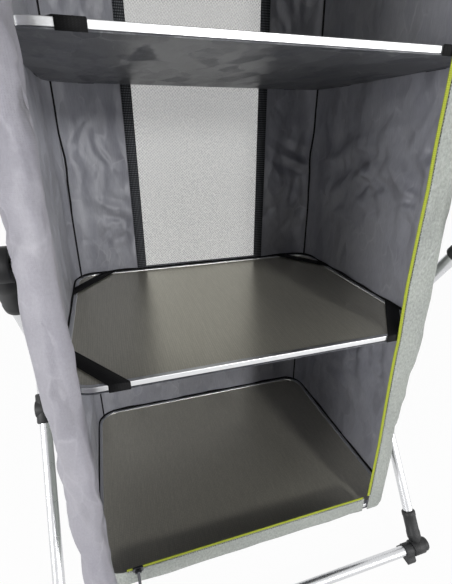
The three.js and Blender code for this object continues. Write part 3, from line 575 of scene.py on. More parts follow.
@dataclass(frozen=True)
class Webbing(Stuff):
    """Woven polyester webbing or tape: dull black with a close rib across it, its raised threads painted
    paler as their highlight.

    Attributes:
        colour: The dye.
        lift: Paler colour painted on the raised threads as their highlight.
        rib: Distance between ribs in millimetres.
    """

    colour: str
    lift: str
    rib: float = 1.6

    def surface(self, tree: Tree) -> dict[str | int, object]:
        """Return the webbing's colour and ribs.

        Args:
            tree: The material's node tree.

        Returns:
            The shader's inputs.
        """
        threads = node(tree, "UVMap", uv_map=CLOTH_UV)
        ribs = crossed_bands(tree, threads, (self.rib, self.rib * 1.4), 0.6)
        return {
            # The raised ribs are painted paler as their highlight, and the grooves keep the darker dye.
            "Base Color": node(tree, "ValToRGB", {"Fac": ribs}, [(0.1, self.colour), (0.9, self.lift)]),
            "Roughness": 0.78, "Specular IOR Level": 0.25,
            "Normal": node(tree, "Bump", {"Height": ribs, "Strength": 0.6, "Distance": 0.3 * MM}),
        }


@dataclass(frozen=True)
class FoilLaminate(Stuff):
    """Pressed board faced with warm grey metal foil under lacquer: it mirrors the cloth, much blurred.

    Attributes:
        colour: Main tone of the foil.
        line: Tone of its fine brushed lines.
        pitch: Distance between the drawn lines in millimetres, coarser than the real 0.3 mm.
        fleck: Width of its flecks in millimetres.
    """

    colour: str = "#C2BFB0"
    line: str = "#DCD8C9"
    pitch: float = 1.8
    fleck: float = 2.2

    def surface(self, tree: Tree) -> dict[str | int, object]:
        """Return the foil's colour, gloss and grain.

        Args:
            tree: The material's node tree.

        Returns:
            The shader's inputs.
        """
        place = node(tree, "TexCoord").outputs["Object"]
        long = node(tree, "Mapping", {"Vector": place, "Scale": (1, 0.06, 1)})
        lines = node(tree, "TexNoise", {"Vector": long, "Scale": grain_scale(self.pitch), "Detail": 2.0})
        fleck = node(tree, "TexNoise", {"Vector": place, "Scale": grain_scale(self.fleck), "Detail": 2.0})
        dots = crossed_bands(tree, place, (self.pitch * 1.6, self.pitch * 1.6))
        grain = node(tree, "Mix", {0: 0.55, 2: lines, 3: fleck})
        both = node(tree, "Mix", {0: 0.22, 2: grain, 3: dots})
        return {
            "Base Color": node(tree, "ValToRGB", {"Fac": both}, [(0.35, self.colour), (0.65, self.line)]),
            "Metallic": 0.55, "Roughness": node(tree, "MapRange", {0: both, 3: 0.26, 4: 0.36}),
            "Normal": node(tree, "Bump", {"Height": both, "Strength": 0.12, "Distance": 0.1 * MM}),
        }


@dataclass(frozen=True)
class Metal(Stuff):
    """Drawn or turned metal with faint scuffs: anodised aluminium, steel or plated zinc.

    Attributes:
        colour: Reflected colour.
        rough: Roughness of the clean surface.
        scuff: Roughness where it is handled.
        grit: Size of the surface grain in millimetres.
        wear: Width of a handled patch in millimetres.
    """

    colour: str
    rough: float
    scuff: float
    grit: float = 1.2
    wear: float = 22

    def surface(self, tree: Tree) -> dict[str | int, object]:
        """Return the metal's colour, gloss and grain.

        Args:
            tree: The material's node tree.

        Returns:
            The shader's inputs.
        """
        place = node(tree, "TexCoord").outputs["Object"]
        wear = node(tree, "TexNoise", {"Vector": place, "Scale": grain_scale(self.wear), "Detail": 6.0})
        grain = node(tree, "TexNoise", {"Vector": place, "Scale": grain_scale(self.grit), "Detail": 2.0})
        return {
            "Base Color": linear(self.colour), "Metallic": 1.0,
            "Roughness": node(tree, "MapRange", {0: wear, 1: 0.35, 2: 0.75, 3: self.rough, 4: self.scuff}),
            "Normal": node(tree, "Bump", {"Height": grain, "Strength": 0.08, "Distance": 0.08 * MM}),
        }


@dataclass(frozen=True)
class MouldedNylon(Stuff):
    """Injection moulded black nylon with a fine spark texture, greyer where it is rubbed.

    Attributes:
        colour: Colour of the clean surface.
        rubbed: Colour where it is handled.
        wear: Width of a rubbed patch in millimetres.
        spark: Width of the spark texture's grain in millimetres.
    """

    colour: str = "#101112"
    rubbed: str = "#1E1F21"
    wear: float = 18
    spark: float = 0.9

    def surface(self, tree: Tree) -> dict[str | int, object]:
        """Return the nylon's colour and grain.

        Args:
            tree: The material's node tree.

        Returns:
            The shader's inputs.
        """
        place = node(tree, "TexCoord").outputs["Object"]
        wear = node(tree, "TexNoise", {"Vector": place, "Scale": grain_scale(self.wear), "Detail": 5.0})
        spark = node(tree, "TexNoise", {"Vector": place, "Scale": grain_scale(self.spark), "Detail": 2.0})
        return {
            "Base Color": node(tree, "ValToRGB", {"Fac": wear}, [(0.4, self.colour), (0.8, self.rubbed)]),
            "Roughness": 0.56, "IOR": 1.5,
            "Normal": node(tree, "Bump", {"Height": spark, "Strength": 0.25, "Distance": 0.15 * MM}),
        }


class Finish(Enum):
    """Every finish on the cupboard, by the name of its material slot and what it is made of."""

    GREY_CLOTH = (
        "grey_cloth",
        WovenPolyester("polyester_grey_inside", "#AEAFB7", "#A1A2AA", streak=8, facet=22, tilt=0.42),
    )
    DOOR_CLOTH = (
        "grey_cloth",
        WovenPolyester(
            "polyester_grey_door", "#AEACB4", "#A4A2AA", streak=1.4, rough=0.55, crease_highlight=0.2, tilt=0.62,
            soft=0.2,
        ),
    )
    OUTER_CLOTH = (
        "grey_cloth",
        WovenPolyester(
            "polyester_grey_outside", "#C1C6BF", "#999D97", streak=1.5, rough=0.82, fleck=3.0, tilt=0.16
        ),
    )
    SHELF_CLOTH = ("shelf_cloth", WovenPolyester("polyester_shelf", "#5B5D63", "#4B4D52"))
    MESH = ("pale_mesh", OpenMesh("open_polyester_mesh"))
    TAPE = ("black_webbing", Webbing("window_tape", "#25272A", "#84878D", rib=2.8))
    STRAP = ("black_webbing", Webbing("strap_webbing", "#0B0B0C", "#1A1A1C"))
    ZIP = ("lime_zip", Webbing("lime_zip_coil", "#A0AB30", "#C3CB5C"))
    LAMINATE = ("laminate", FoilLaminate("foil_laminate"))
    ALUMINIUM = ("anodised_tube", Metal("anodised_aluminium", "#D4D5D7", rough=0.24, scuff=0.38))
    EDGING = ("anodised_tube", Metal("edging_aluminium", "#E4E5E6", rough=0.3, scuff=0.42))
    STEEL = ("steel_pin", Metal("stainless_steel", "#C9CACC", rough=0.22, scuff=0.35))
    ZINC = ("zinc_pull", Metal("gunmetal_zinc", "#55565A", rough=0.32, scuff=0.45))
    NYLON = ("black_nylon", MouldedNylon("moulded_nylon"))

    def __init__(self, slot: str, stuff: Stuff) -> None:
        """Name a finish's parts.

        Args:
            slot: The name of its material slot.
            stuff: What it is made of.
        """
        self.slot = slot
        self.stuff = stuff


def finished(name: str, bm: Mesh, materials: Sequence[bpy.types.Material], smooth: bool = True) -> Piece:
    """Turn a bmesh into an object at the origin.

    Args:
        name: The object's name.
        bm: The mesh, already in its place in metres. It is freed.
        materials: The object's materials, slot by slot.
        smooth: Whether its faces are shaded smooth.

    Returns:
        The linked object.
    """
    mesh = bpy.data.meshes.new(name)
    bm.to_mesh(mesh)
    bm.free()
    for material in materials:
        mesh.materials.append(material)
    mesh.polygons.foreach_set("use_smooth", [smooth] * len(mesh.polygons))
    made = bpy.data.objects.new(name, mesh)
    bpy.context.scene.collection.objects.link(made)
    return made


def fitted(
    name: str, bm: Mesh, body: str, finish: Finish, nodes: Sequence[str] = (), *, keep: float | None = None,
    smooth: bool = True, rounding: tuple[float, int, float] | None = None, thick: float = 0,
    inside: Finish | None = None,
) -> Piece:
    """Make a finished piece at the origin, on its body and in the place of its CAD nodes.

    Args:
        name: The piece's name.
        bm: The mesh, already in its place in metres. It is freed.
        body: The CAD body that it rides on.
        finish: Its finish.
        nodes: The CAD nodes that it stands for.
        keep: For cloth that the fold flattens, the share of its height that is left. Only whether it is
            given is read, and then the piece gets a mesh of its own.
        smooth: Whether its faces are shaded smooth.
        rounding: For a hard piece, the width of its rounded edges in millimetres, the faces round one
            and the least angle in degrees of an edge that is rounded.
        thick: For cloth, its thickness in millimetres.
        inside: For cloth, the finish of its inner side where that differs.

    Returns:
        The piece.
    """
    materials = [used.stuff.material() for used in (finish, inside) if used]
    piece = finished(name, bm, materials, smooth)
    if rounding:
        edges = piece.modifiers.new("edges", "BEVEL")
        edges.width, edges.segments, edges.limit_method = rounding[0] * MM, rounding[1], "ANGLE"
        edges.angle_limit = math.radians(rounding[2])
        edges.harden_normals = True
    if thick:
        solid = piece.modifiers.new("thickness", "SOLIDIFY")
        solid.thickness, solid.offset, solid.material_offset = thick * MM, 0, int(inside is not None)
    if nodes:
        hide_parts(*nodes)
    if keep is not None:
        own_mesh(piece)
    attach(piece, body)
    LOG.info("%s on %s", piece.name, body)
    return piece


# Sizes that the assemblies share


@dataclass(frozen=True)
class Layout:
    """Main places of the cupboard, in millimetres from the middle of the boards.

    Attributes:
        pivot_depth: From the middle to a pivot row.
        rise: From a pivot row to a crossing.
        foot: Height of the lowest pivots.
        inner_leg: Tube axis of the inner legs.
        outer_leg: Tube axis of the outer legs.
        half_width: Half of a board's width.
        half_depth: Half of a board's depth.
        corner: Corner radius of a board.
        floor_top: Top of the floor board.
        shelf_height: From one board up to the next.
        wall_gap: From a board's edge to a wall's middle.
        wall_bottom: Lower end of the walls.
        wall_top: Upper end of the walls.
        wall_flat: Cut height of the walls.
        fold_keep: Share of the cloth's height that is left when the frame is folded.
    """

    pivot_depth: float = 219
    rise: float = 318
    foot: float = 16
    inner_leg: float = 274
    outer_leg: float = 317
    half_width: float = 253
    half_depth: float = 192
    corner: float = 40
    floor_top: float = 145
    shelf_height: float = 347
    wall_gap: float = 2.3
    wall_bottom: float = 133.9
    wall_top: float = 1272.7
    wall_flat: float = 1139
    fold_keep: float = 0.137

    @property
    def shift(self) -> float:
        """How far the part's frame moves the boards' middle along Y."""
        low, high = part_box("middle_board")
        return (low[1] + high[1]) / 2 / MM

    @property
    def hub(self) -> float:
        """Height of the two hubs."""
        return self.foot + 2 * self.rise

    @property
    def top(self) -> float:
        """Height of the top pivots."""
        return self.foot + 4 * self.rise

    @property
    def front(self) -> float:
        """Depth of the front wall's middle."""
        return -self.half_depth - self.wall_gap

    @property
    def corner_middle(self) -> Rows:
        """Middle of a board's corner, from the board's own."""
        return np.array([self.half_width - self.corner, self.half_depth - self.corner])

    @property
    def boards(self) -> dict[str, float]:
        """The three boards' names with the heights of their tops."""
        return {
            name: self.floor_top + level * self.shelf_height
            for level, name in enumerate(("floor", "middle", "upper"))
        }

    def spot(self, x: float, y: float, z: float) -> Vector:
        """Return a place in the part's frame, in millimetres."""
        return Vector((x, y + self.shift, z))


LAYOUT = Layout()


class Side(Enum):
    """Left or right of the cupboard, seen from the front."""

    RIGHT = ("right", 1)
    LEFT = ("left", -1)

    def __init__(self, label: str, sign: int) -> None:
        """Name a side's parts.

        Args:
            label: The side's name.
            sign: Its direction along X.
        """
        self.label = label
        self.sign = sign


# Frame


@dataclass
class ScissorFrame:
    """The double scissor: tubes with moulded ends and saddles, pins, rails and blocks.

    Attributes:
        tube: Radius of a tube.
        sleeve: Radius of a moulded sleeve round a tube.
        eye: Radius of an eye round a rail.
        hub_eye: Radius of a hub half.
        boss: Radius of the boss at a crossing.
        setback: From a leg's pivot to the end of its tube.
        sleeve_length: How far a sleeve reaches over its tube.
        saddle: Length of the saddle at a crossing.
        middle_gap: Room between two bosses, from the plane where they meet.
        pin: Radius of a pin.
        pin_head: Radius of its head.
        dome: Height of its head.
        outer_rail: Half length of the rails that reach past the outer legs.
        inner_rail: Half length of the other two.
        cap: Profile of the cap on an outer rail's end.
        collar: Profile of the collar on an inner rail.
    """

    tube: float = 9
    sleeve: float = 12.5
    eye: float = 14
    hub_eye: float = 16
    boss: float = 14
    setback: float = 20
    sleeve_length: float = 46
    saddle: float = 48
    middle_gap: float = 0.3
    pin: float = 4
    pin_head: float = 7
    dome: float = 2.2
    outer_rail: float = 334.8
    inner_rail: float = 295.5
    cap: Profile = ((0, 329.8), (12, 329.8), (12, 335.8), (11, 337.8), (8, 339.8), (0, 339.8))
    collar: Profile = ((0, 252.2), (11.2, 252.2), (11.9, 253), (11.9, 260.4), (11.2, 261.2), (0, 261.2))

    def legs(self) -> None:
        """Build the eight legs."""
        plan = {
            "a": (LAYOUT.inner_leg, 1, LAYOUT.foot),
            "b": (LAYOUT.outer_leg, -1, LAYOUT.foot),
            "c": (LAYOUT.outer_leg, -1, LAYOUT.hub),
            "d": (LAYOUT.inner_leg, 1, LAYOUT.hub),
        }
        for letter, (plane, back, start) in plan.items():
            for side in Side:
                x, y = side.sign * plane, back * LAYOUT.pivot_depth
                pivots = (LAYOUT.spot(x, y, start), LAYOUT.spot(x, -y, start + 2 * LAYOUT.rise))
                inwards = side.sign if plane == LAYOUT.inner_leg else -side.sign
                name = f"leg_{letter}_{side.label}"
                self.leg(name, f"legs_{letter}", pivots, inwards, start == LAYOUT.foot)

    def leg(
        self, name: str, body: str, pivots: tuple[Vector, Vector], inwards: int, rail_below: bool
    ) -> None:
        """Build one leg, a tube with its two moulded ends and its saddle.

        Args:
            name: The CAD node that it replaces.
            body: The body that it rides on.
            pivots: Its lower and its upper pivot.
            inwards: Direction along X towards the leg that it meets.
            rail_below: Whether its lower eye holds a rail, and not its upper one.
        """
        lower, upper = pivots
        tube = rod(self.tube, self.setback, (upper - lower).length - self.setback)
        fitted(
            f"{name}_tube", turned(tube, along(lower, upper)), body, Finish.ALUMINIUM, [name],
            rounding=(0.5, 2, 35),
        )
        tail, neck, lip = self.setback + self.sleeve_length, self.eye / 2, self.sleeve - 1.4
        wide, waist = self.sleeve, self.sleeve - 0.7
        end = [
            (0, neck), (self.tube, neck), (self.tube + 1.2, self.setback - 8), (wide, self.setback - 2),
            (wide, self.setback + 8), (waist, self.setback + 9.5), (waist, tail - 10), (wide, tail - 8.5),
            (wide, tail - 2), (lip, tail), (0, tail),
        ]
        half = self.saddle / 2
        saddle = [(0, -half), (lip, -half), (wide, 2 - half), (wide, half - 2), (lip, half), (0, half)]
        mouldings = bmesh.new()
        for at, far, on_rail in ((lower, upper, rail_below), (upper, lower, not rail_below)):
            self.moulding(mouldings, end, at, far, self.eye if on_rail else self.hub_eye, inwards, on_rail)
        self.moulding(mouldings, saddle, (lower + upper) / 2, upper, self.boss, inwards, False)
        fitted(f"{name}_mouldings", mouldings, body, Finish.NYLON, [name], rounding=(0.9, 3, 50))

    def moulding(
        self, into: Mesh, sleeve: Profile, at: Vector, far: Vector, radius: float, inwards: int, even: bool
    ) -> None:
        """Add a sleeve with a round boss along X, which has a raised rim, to a leg's mouldings.

        Args:
            into: The mouldings' bmesh.
            sleeve: The sleeve's profile.
            at: The pivot that it sits at.
            far: The pivot that it points to.
            radius: The boss's radius.
            inwards: Direction along X towards the other leg.
            even: Whether the boss reaches as far both ways, as an eye on a rail does.
        """
        poured(into, turned(sleeve, along(at, far)))
        base = -self.sleeve
        reach = self.sleeve if even else (LAYOUT.outer_leg - LAYOUT.inner_leg) / 2 - self.middle_gap
        boss = [
            (0, base + 1.2), (radius - 4.5, base + 1.2), (radius - 3.2, base), (radius - 1, base),
            (radius, base + 1), (radius, reach - 1), (radius - 1, reach), (0, reach),
        ]
        turn = Matrix.Rotation(math.pi / 2 * inwards, 4, "Y")
        poured(into, turned(boss, Matrix.Translation(at * MM) @ turn, 48))

    def pins(self) -> None:
        """Build the domed pins through the crossings and the hubs."""
        places = {
            "pin_lower_crossing": ("legs_a", 0, LAYOUT.foot + LAYOUT.rise),
            "pin_upper_crossing": ("legs_c", 0, LAYOUT.hub + LAYOUT.rise),
            "pin_front_hub": ("legs_a", -LAYOUT.pivot_depth, LAYOUT.hub),
            "pin_back_hub": ("legs_b", LAYOUT.pivot_depth, LAYOUT.hub),
        }
        near = LAYOUT.inner_leg - self.sleeve - self.middle_gap
        far = LAYOUT.outer_leg + self.sleeve + self.middle_gap
        turns = np.linspace(0, math.pi / 2, 6)
        dome = [(self.dome * math.sin(turn), self.pin_head * math.cos(turn)) for turn in turns]
        profile = [
            *[(radius, near - height) for height, radius in reversed(dome)],
            (self.pin, near), (self.pin, far),
            *[(radius, far + height) for height, radius in dome],
        ]
        for name, (body, y, z) in places.items():
            for side in Side:
                turn = Matrix.Rotation(math.pi / 2 * side.sign, 4, "Y")
                pin = turned(profile, Matrix.Translation(LAYOUT.spot(0, y, z) * MM) @ turn, 32)
                fitted(f"{name}_{side.label}_domed", pin, body, Finish.STEEL, [f"{name}_{side.label}"])

    def rails(self) -> None:
        """Build the four rails with their caps or collars."""
        places = {
            "foot_rail_back": ("base", LAYOUT.pivot_depth, LAYOUT.foot, False),
            "foot_rail_front": ("front_foot", -LAYOUT.pivot_depth, LAYOUT.foot, True),
            "top_rail_back": ("top", LAYOUT.pivot_depth, LAYOUT.top, True),
            "top_rail_front": ("front_top", -LAYOUT.pivot_depth, LAYOUT.top, False),
        }
        for name, (body, y, z, outer) in places.items():
            half = self.outer_rail if outer else self.inner_rail
            place = Matrix.Translation(LAYOUT.spot(0, y, z) * MM) @ Matrix.Rotation(math.pi / 2, 4, "Y")
            tube = turned(rod(self.tube, -half, half), place)
            fitted(f"{name}_tube", tube, body, Finish.ALUMINIUM, [name], rounding=(0.5, 2, 35))
            ends = bmesh.new()
            for turn in (0, math.pi):
                flip = Matrix.Rotation(turn, 4, "X")
                poured(ends, turned(self.cap if outer else self.collar, place @ flip))
            fitted(f"{name}_ends", ends, body, Finish.NYLON, [name], rounding=(0.6, 2, 35))

    def blocks(self) -> None:
        """Round the edges of the foot blocks and top seats on a copy of each."""
        bodies = {
            "foot_back": "base", "foot_front": "front_foot",
            "top_seat_back": "top", "top_seat_front": "front_top",
        }
        for stem, body in bodies.items():
            for side in Side:
                name = f"{stem}_{side.label}"
                fitted(
                    f"{name}_moulded", joined_copy(name), body, Finish.NYLON, [name], rounding=(0.8, 3, 30)
                )

    def build(self) -> None:
        """Build the whole frame."""
        self.legs()
        self.pins()
        self.rails()
        self.blocks()


# Boards


@dataclass
class FramedBoards:
    """Laminate panels in aluminium edging, and the straps that hold them down.

    Attributes:
        height: Height of a board's edging.
        lip: How far the edging reaches over its panel.
        panel: Thickness of a board's panel.
        wall: Thickness of the edging.
        strap_width: Width of a strap.
        strap_thick: Thickness of a strap.
        strap_drop: How far a strap hangs down past a board's edge.
        side_reach: From a board's corner to a strap's end along its side.
        front_reach: From a board's corner to a strap's end along its front.
        edge_room: From a board's edge to the middle of a strap's hanging end.
        top: Width, depth and height of the table top.
        top_corner: Corner radius of the table top.
        top_panel: Thickness of its panel.
    """

    height: float = 7.6
    lip: float = 6.6
    panel: float = 5
    wall: float = 1.5
    strap_width: float = 20
    strap_thick: float = 1
    strap_drop: float = 10.4
    side_reach: float = 103
    front_reach: float = 76
    edge_room: float = 1.3
    top: Spot = (660, 470, 10)
    top_corner: float = 30
    top_panel: float = 7.4

    def board(self, name: str, body: str, size: Spot, corner: float, panel: float, top: float) -> None:
        """Build one framed panel.

        Args:
            name: The CAD node of the panel.
            body: The body that it rides on.
            size: Width, depth and height of its edging.
            corner: Its corner radius.
            panel: Thickness of the panel.
            top: Height of the edging's top.
        """
        inset = 2 * self.wall
        middle = LAYOUT.spot(0, 0, top - size[2] / 2)
        sheet = rounded_slab((size[0] - inset, size[1] - inset, panel), corner - self.wall, middle)
        fitted(f"{name}_laminate", sheet, body, Finish.LAMINATE, [name], smooth=False)

        ring = rounded_slab(size, corner, middle)
        flats = [face for face in ring.faces if abs(face.normal.z) > 0.9]
        bmesh.ops.inset_individual(ring, faces=flats, thickness=self.lip * MM, depth=0, use_even_offset=True)
        centres = [face for face in ring.faces if abs(face.normal.z) > 0.9 and len(face.verts) > 4]
        bmesh.ops.delete(ring, geom=centres, context="FACES_ONLY")
        bmesh.ops.bridge_loops(ring, edges=[edge for edge in ring.edges if edge.is_boundary])
        bmesh.ops.recalc_face_normals(ring, faces=ring.faces)
        fitted(f"{name}_channel", ring, body, Finish.EDGING, [f"{name}_edging"], rounding=(1.1, 3, 50))

    def strap_plan(self, sx: int, sy: int) -> list[Vector]:
        """Return the four plan corners of a strap.

        Args:
            sx: Direction of the board's corner along X.
            sy: Direction of the board's corner along Y.

        Returns:
            Inner side point, outer side point, outer end point and inner end point.
        """
        edge = Vector((LAYOUT.half_width, LAYOUT.half_depth))
        side, end = edge - Vector((0, self.side_reach)), edge - Vector((self.front_reach, 0))
        way = (end - side).normalized()
        outer = side + Vector((way.y, -way.x)) * self.strap_width
        edge = edge + Vector((self.edge_room, self.edge_room))
        points = [
            side + way * ((edge.x - side.x) / way.x), outer + way * ((edge.x - outer.x) / way.x),
            outer + way * ((edge.y - outer.y) / way.y), side + way * ((edge.y - side.y) / way.y),
        ]
        return [Vector((point.x * sx, point.y * sy)) for point in points]

    def strap(self, name: str, body: str, top: float, sx: int, sy: int) -> None:
        """Build one webbing strap across a board's corner.

        Args:
            name: The piece's name.
            body: The body that it rides on.
            top: The board's top.
            sx: Direction of the corner along X.
            sy: Direction of the corner along Y.
        """
        points = self.strap_plan(sx, sy)
        crest = top + 0.8
        bm = bmesh.new()
        verts = [bm.verts.new(LAYOUT.spot(point.x, point.y, crest) * MM) for point in points]
        bm.faces.new(verts)
        ends = [edge for edge in bm.edges if {verts.index(v) for v in edge.verts} in ({0, 1}, {2, 3})]
        for edge in ends:
            grown = bmesh.ops.extrude_edge_only(bm, edges=[edge])
            down = [v for v in grown["geom"] if isinstance(v, bmesh.types.BMVert)]
            bmesh.ops.translate(bm, vec=(0, 0, -self.strap_drop * MM), verts=down)
        bmesh.ops.bevel(bm, geom=ends, offset=1.4 * MM, segments=4, profile=0.5, affect="EDGES", material=-1)
        bmesh.ops.recalc_face_normals(bm, faces=bm.faces)
        way = (points[3] - points[0]).normalized()
        across = Vector((-way.y, way.x))
        start = LAYOUT.spot(0, 0, crest) * MM

        def run(spot: Vector) -> tuple[float, float]:
            """Return the distances along the strap, down its end too, and across it."""
            flat = (spot - start).xy
            return flat.dot(way) + start.z - spot.z, flat.dot(across)

        threaded(bm, run)
        fitted(name, bm, body, Finish.STRAP, thick=self.strap_thick)

    def build(self) -> None:
        """Build the boards, their straps and the table top."""
        size = (2 * LAYOUT.half_width, 2 * LAYOUT.half_depth, self.height)
        for name, top in LAYOUT.boards.items():
            self.board(f"{name}_board", f"{name}_shelf", size, LAYOUT.corner, self.panel, top)
            if name == "floor":
                continue
            for sx, sy in ((1, 1), (-1, 1), (-1, -1), (1, -1)):
                corner = f"{'back' if sy > 0 else 'front'}_{'right' if sx > 0 else 'left'}"
                self.strap(f"{name}_strap_{corner}", f"{name}_shelf", top, sx, sy)
        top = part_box("tabletop_edging")[1][2] / MM
        self.board("tabletop", "top", self.top, self.top_corner, self.top_panel, top)


# Cloth body


def runs(points: Rows) -> Rows:
    """Return the distance of each point along a line of points."""
    return np.concatenate([[0], np.cumsum(np.linalg.norm(np.diff(points, axis=0), axis=1))])


def round_points(degrees: Rows) -> Rows:
    """Return the points of the unit circle at some angles."""
    turn = np.radians(degrees)
    return np.stack([np.cos(turn), np.sin(turn)], axis=1)


def at_run(points: Rows, run: Rows | float) -> Rows:
    """Return the places at distances along a line of points."""
    return np.stack([np.interp(run, runs(points), column) for column in points.T], axis=-1)


@dataclass
class Line:
    """A plan line of upright cloth: evenly spread points with their outward normals.

    Attributes:
        points: Rows of x and y in millimetres.
        normals: Rows of unit normals.
        length: The line's length in millimetres.
    """

    points: Rows
    normals: Rows
    length: float

    @staticmethod
    def through(points: Rows, count: int = 400) -> Line:
        """Return the line through some points.

        Args:
            points: Rows of x and y, in order, with the cloth's outside on the right hand.
            count: How many even points to keep.

        Returns:
            The line.
        """
        length = float(runs(points)[-1])
        spread = at_run(points, np.linspace(0, length, count))
        ways = np.gradient(spread, axis=0)
        ways /= np.linalg.norm(ways, axis=1, keepdims=True)
        return Line(spread, np.stack([ways[:, 1], -ways[:, 0]], axis=1), length)

    def at(self, share: Rows) -> tuple[Rows, Rows]:
        """Return the points and normals at shares of the line's length.

        Args:
            share: Shares from 0 to 1.

        Returns:
            Rows of x and y for each share: the points and the normals.
        """
        spots = np.linspace(0, 1, len(self.points))
        point = np.stack([np.interp(share, spots, column) for column in self.points.T], axis=1)
        normal = np.stack([np.interp(share, spots, column) for column in self.normals.T], axis=1)
        return point, normal

    def freed(self, run: Rows, first: float, last: float) -> Rows:
        """Return 0 at the line's ends, where the cloth is sewn, and 1 where it is free.

        Args:
            run: Places along the line in millimetres.
            first: How far from its start it is free.
            last: How far from its end it is free.

        Returns:
            Shares from 0 to 1.
        """
        return np.clip(run / first, 0, 1) * np.clip((self.length - run) / last, 0, 1)


@dataclass
class ClothBody:
    """The cloth walls, window, piping, header, sill, shelf cloths, roof and rail tunnels.

    Attributes:
        thick: Thickness of the cloth.
        radius: Corner radius of the walls.
        window_left: Left edge of the window.
        window_right: Right edge of the window.
        tape: Width of the tape round the window.
        zip_line: Right edge of the door's opening.
        seam_degrees: How far round the left front corner the door's seam is.
        sill: Height of the sill.
        header: Height of the header.
        piping: Radius of the piping, larger than the real cord's so that its black also stands for the
            shadow in the seam's gap.
        held: Share of its crumples that the cloth keeps where a board holds it.
        leg_room: How far a side wall can stand out towards the legs.
        board_room: How far a wall can stand in towards a board that lies beside it in the fold.
        free_room: How much further it can stand in above the boards.
        back_room: How far the back wall can stand out or in.
        fold_band: Share of a bay that a board's edging passes in the fold, from the bay's foot.
        band_fade: Share of a bay in which the cloth above that band gets its freedom back.
        inset: How far in the right wall lies between the boards.
        left_inset: How far in the left wall lies between the boards.
        window_foot: From the middle board's top up to the window.
        window_head: From the window's upper edge up to the wall's.
        window_lap: How far the mesh reaches under its tape.
        tape_set: How far the tape lies inside the back wall.
        under_board: From a board's top down to the middle of its shelf cloth.
        shelf_lap: How far a shelf cloth reaches past its board.
        binding: Height of the binding round a board.
        roof_edge: How far the roof reaches past the boards.
        roof_drop: From the top pivots down to the roof.
        tunnel: Length of a rail's tunnel.
        tunnel_radius: Radius of a tunnel round its rail.
    """

    thick: float = 0.8
    radius: float = 42.3
    window_left: float = -115
    window_right: float = 123
    tape: float = 18
    zip_line: float = 192
    seam_degrees: float = 64
    sill: float = 30
    header: float = 56
    piping: float = 1.7
    held: float = 0.05
    leg_room: float = 4.2
    board_room: float = 0.1
    free_room: float = 14
    back_room: float = 12
    fold_band: float = 0.26
    band_fade: float = 0.18
    inset: float = 2.6
    left_inset: float = 1.5
    window_foot: float = 6
    window_head: float = 48
    window_lap: float = 4
    tape_set: float = 1.6
    under_board: float = 8.5
    shelf_lap: float = 0.8
    binding: float = 9
    roof_edge: float = 3
    roof_drop: float = 15
    tunnel: float = 400
    tunnel_radius: float = 10.4

    def arc(self, sx: int, sy: int, start: float, end: float) -> Rows:
        """Return points round one corner of the wall's plan.

        Args:
            sx: Direction of the corner along X.
            sy: Direction of the corner along Y.
            start: First angle in degrees.
            end: Last angle in degrees.

        Returns:
            Rows of x and y.
        """
        return LAYOUT.corner_middle * [sx, sy] + self.radius * round_points(np.linspace(start, end, 24))

    def upright(
        self, line: Line, low: float, high: float, step: tuple[float, float], push: Field,
        slide: Field | None = None,
    ) -> Mesh:
        """Shape an upright cloth along a plan line.

        Args:
            line: Its plan line.
            low: Height of its lower edge.
            high: Height of its upper edge.
            step: Size of a cell across and up.
            push: Gives how far it stands out, for places across and heights.
            slide: Gives how far it moves along X, for the same places.

        Returns:
            The cloth in metres.
        """

        def place(u: Rows, v: Rows) -> Rows:
            """Return the cloth's points for shares across and up.

            Args:
                u: Shares across.
                v: Shares up.

            Returns:
                Rows of x, y and z in millimetres.
            """
            point, normal = line.at(u)
            run, z = u * line.length, low + (high - low) * v
            flat = point + normal * push(run, z)[:, None]
            if slide is not None:
                flat[:, 0] += slide(run, z)
            return np.stack([flat[:, 0], flat[:, 1] + LAYOUT.shift, z], axis=1)

        cells = (max(2, round(line.length / step[0])), max(2, round((high - low) / step[1])))
        return cloth_grid(cells, place, (line.length, high - low))

    def hung(
        self, name: str, bm: Mesh, body: str, finish: Finish, nodes: Sequence[str],
        flat: tuple[float, float], rests_on: Sequence[str], inside: Finish | None = None,
        keep: bool = True, held: str = "hung",
    ) -> None:
        """Args:
            name: The piece's name.
            bm: The shaped cloth.
            body: The body that it rides on.
            finish: Its outer finish. Mesh gets no thickness.
            nodes: The CAD nodes that it stands for.
            flat: Its cut size in millimetres. Not used.
            rests_on: What carries it. Not used.
            inside: Its inner finish, if that differs.
            keep: Whether the fold flattens it.
            held: How it is held. Not used.
        """
        piece = fitted(
            name, bm, body, finish, nodes, keep=LAYOUT.fold_keep if keep else None,
            thick=0 if finish is Finish.MESH else self.thick, inside=inside,
        )

    def wall(
        self, name: str, line: Line, step: tuple[float, float], push: Field, slide: Field | None = None,
        opening: tuple[float, float, float, float] | None = None,
    ) -> None:
        """Hang a wall from the roof.

        Args:
            name: The wall's CAD node.
            line: Its plan line.
            step: Size of a cell across and up.
            push: Gives how far it stands out, for places across and heights.
            slide: Gives how far it moves along X, for the same places.
            opening: Left, right, lower and upper edge of the hole that is cut into it.
        """
        bm = self.upright(line, LAYOUT.wall_bottom, LAYOUT.wall_top, step, push, slide)
        width = line.length
        if opening:
            left, right, low, high = opening
            opened(bm, (left + 1, right - 1), (low - 3, high - 1))
            width -= (right - left) * (high - low) / LAYOUT.wall_flat
        self.hung(
            f"{name}_cloth", bm, "base", Finish.OUTER_CLOTH, [name], (width, LAYOUT.wall_flat),
            ["roof_cloth"], inside=Finish.GREY_CLOTH,
        )

    def between_boards(self, z: Rows) -> Rows:
        """Return 0 at the boards, where the cloth is held, and up to 1 between them."""
        share = (z - LAYOUT.floor_top) / LAYOUT.shelf_height
        return self.held + (1 - self.held) * np.sin(np.pi * np.clip(share, 0, 3)) ** 2

    def kept_off_legs(self, out: Rows) -> Rows:
        """Return how far a side wall stands out, never as far as the legs beside it."""
        return np.where(out > 0, self.leg_room * np.tanh(out / self.leg_room), out)

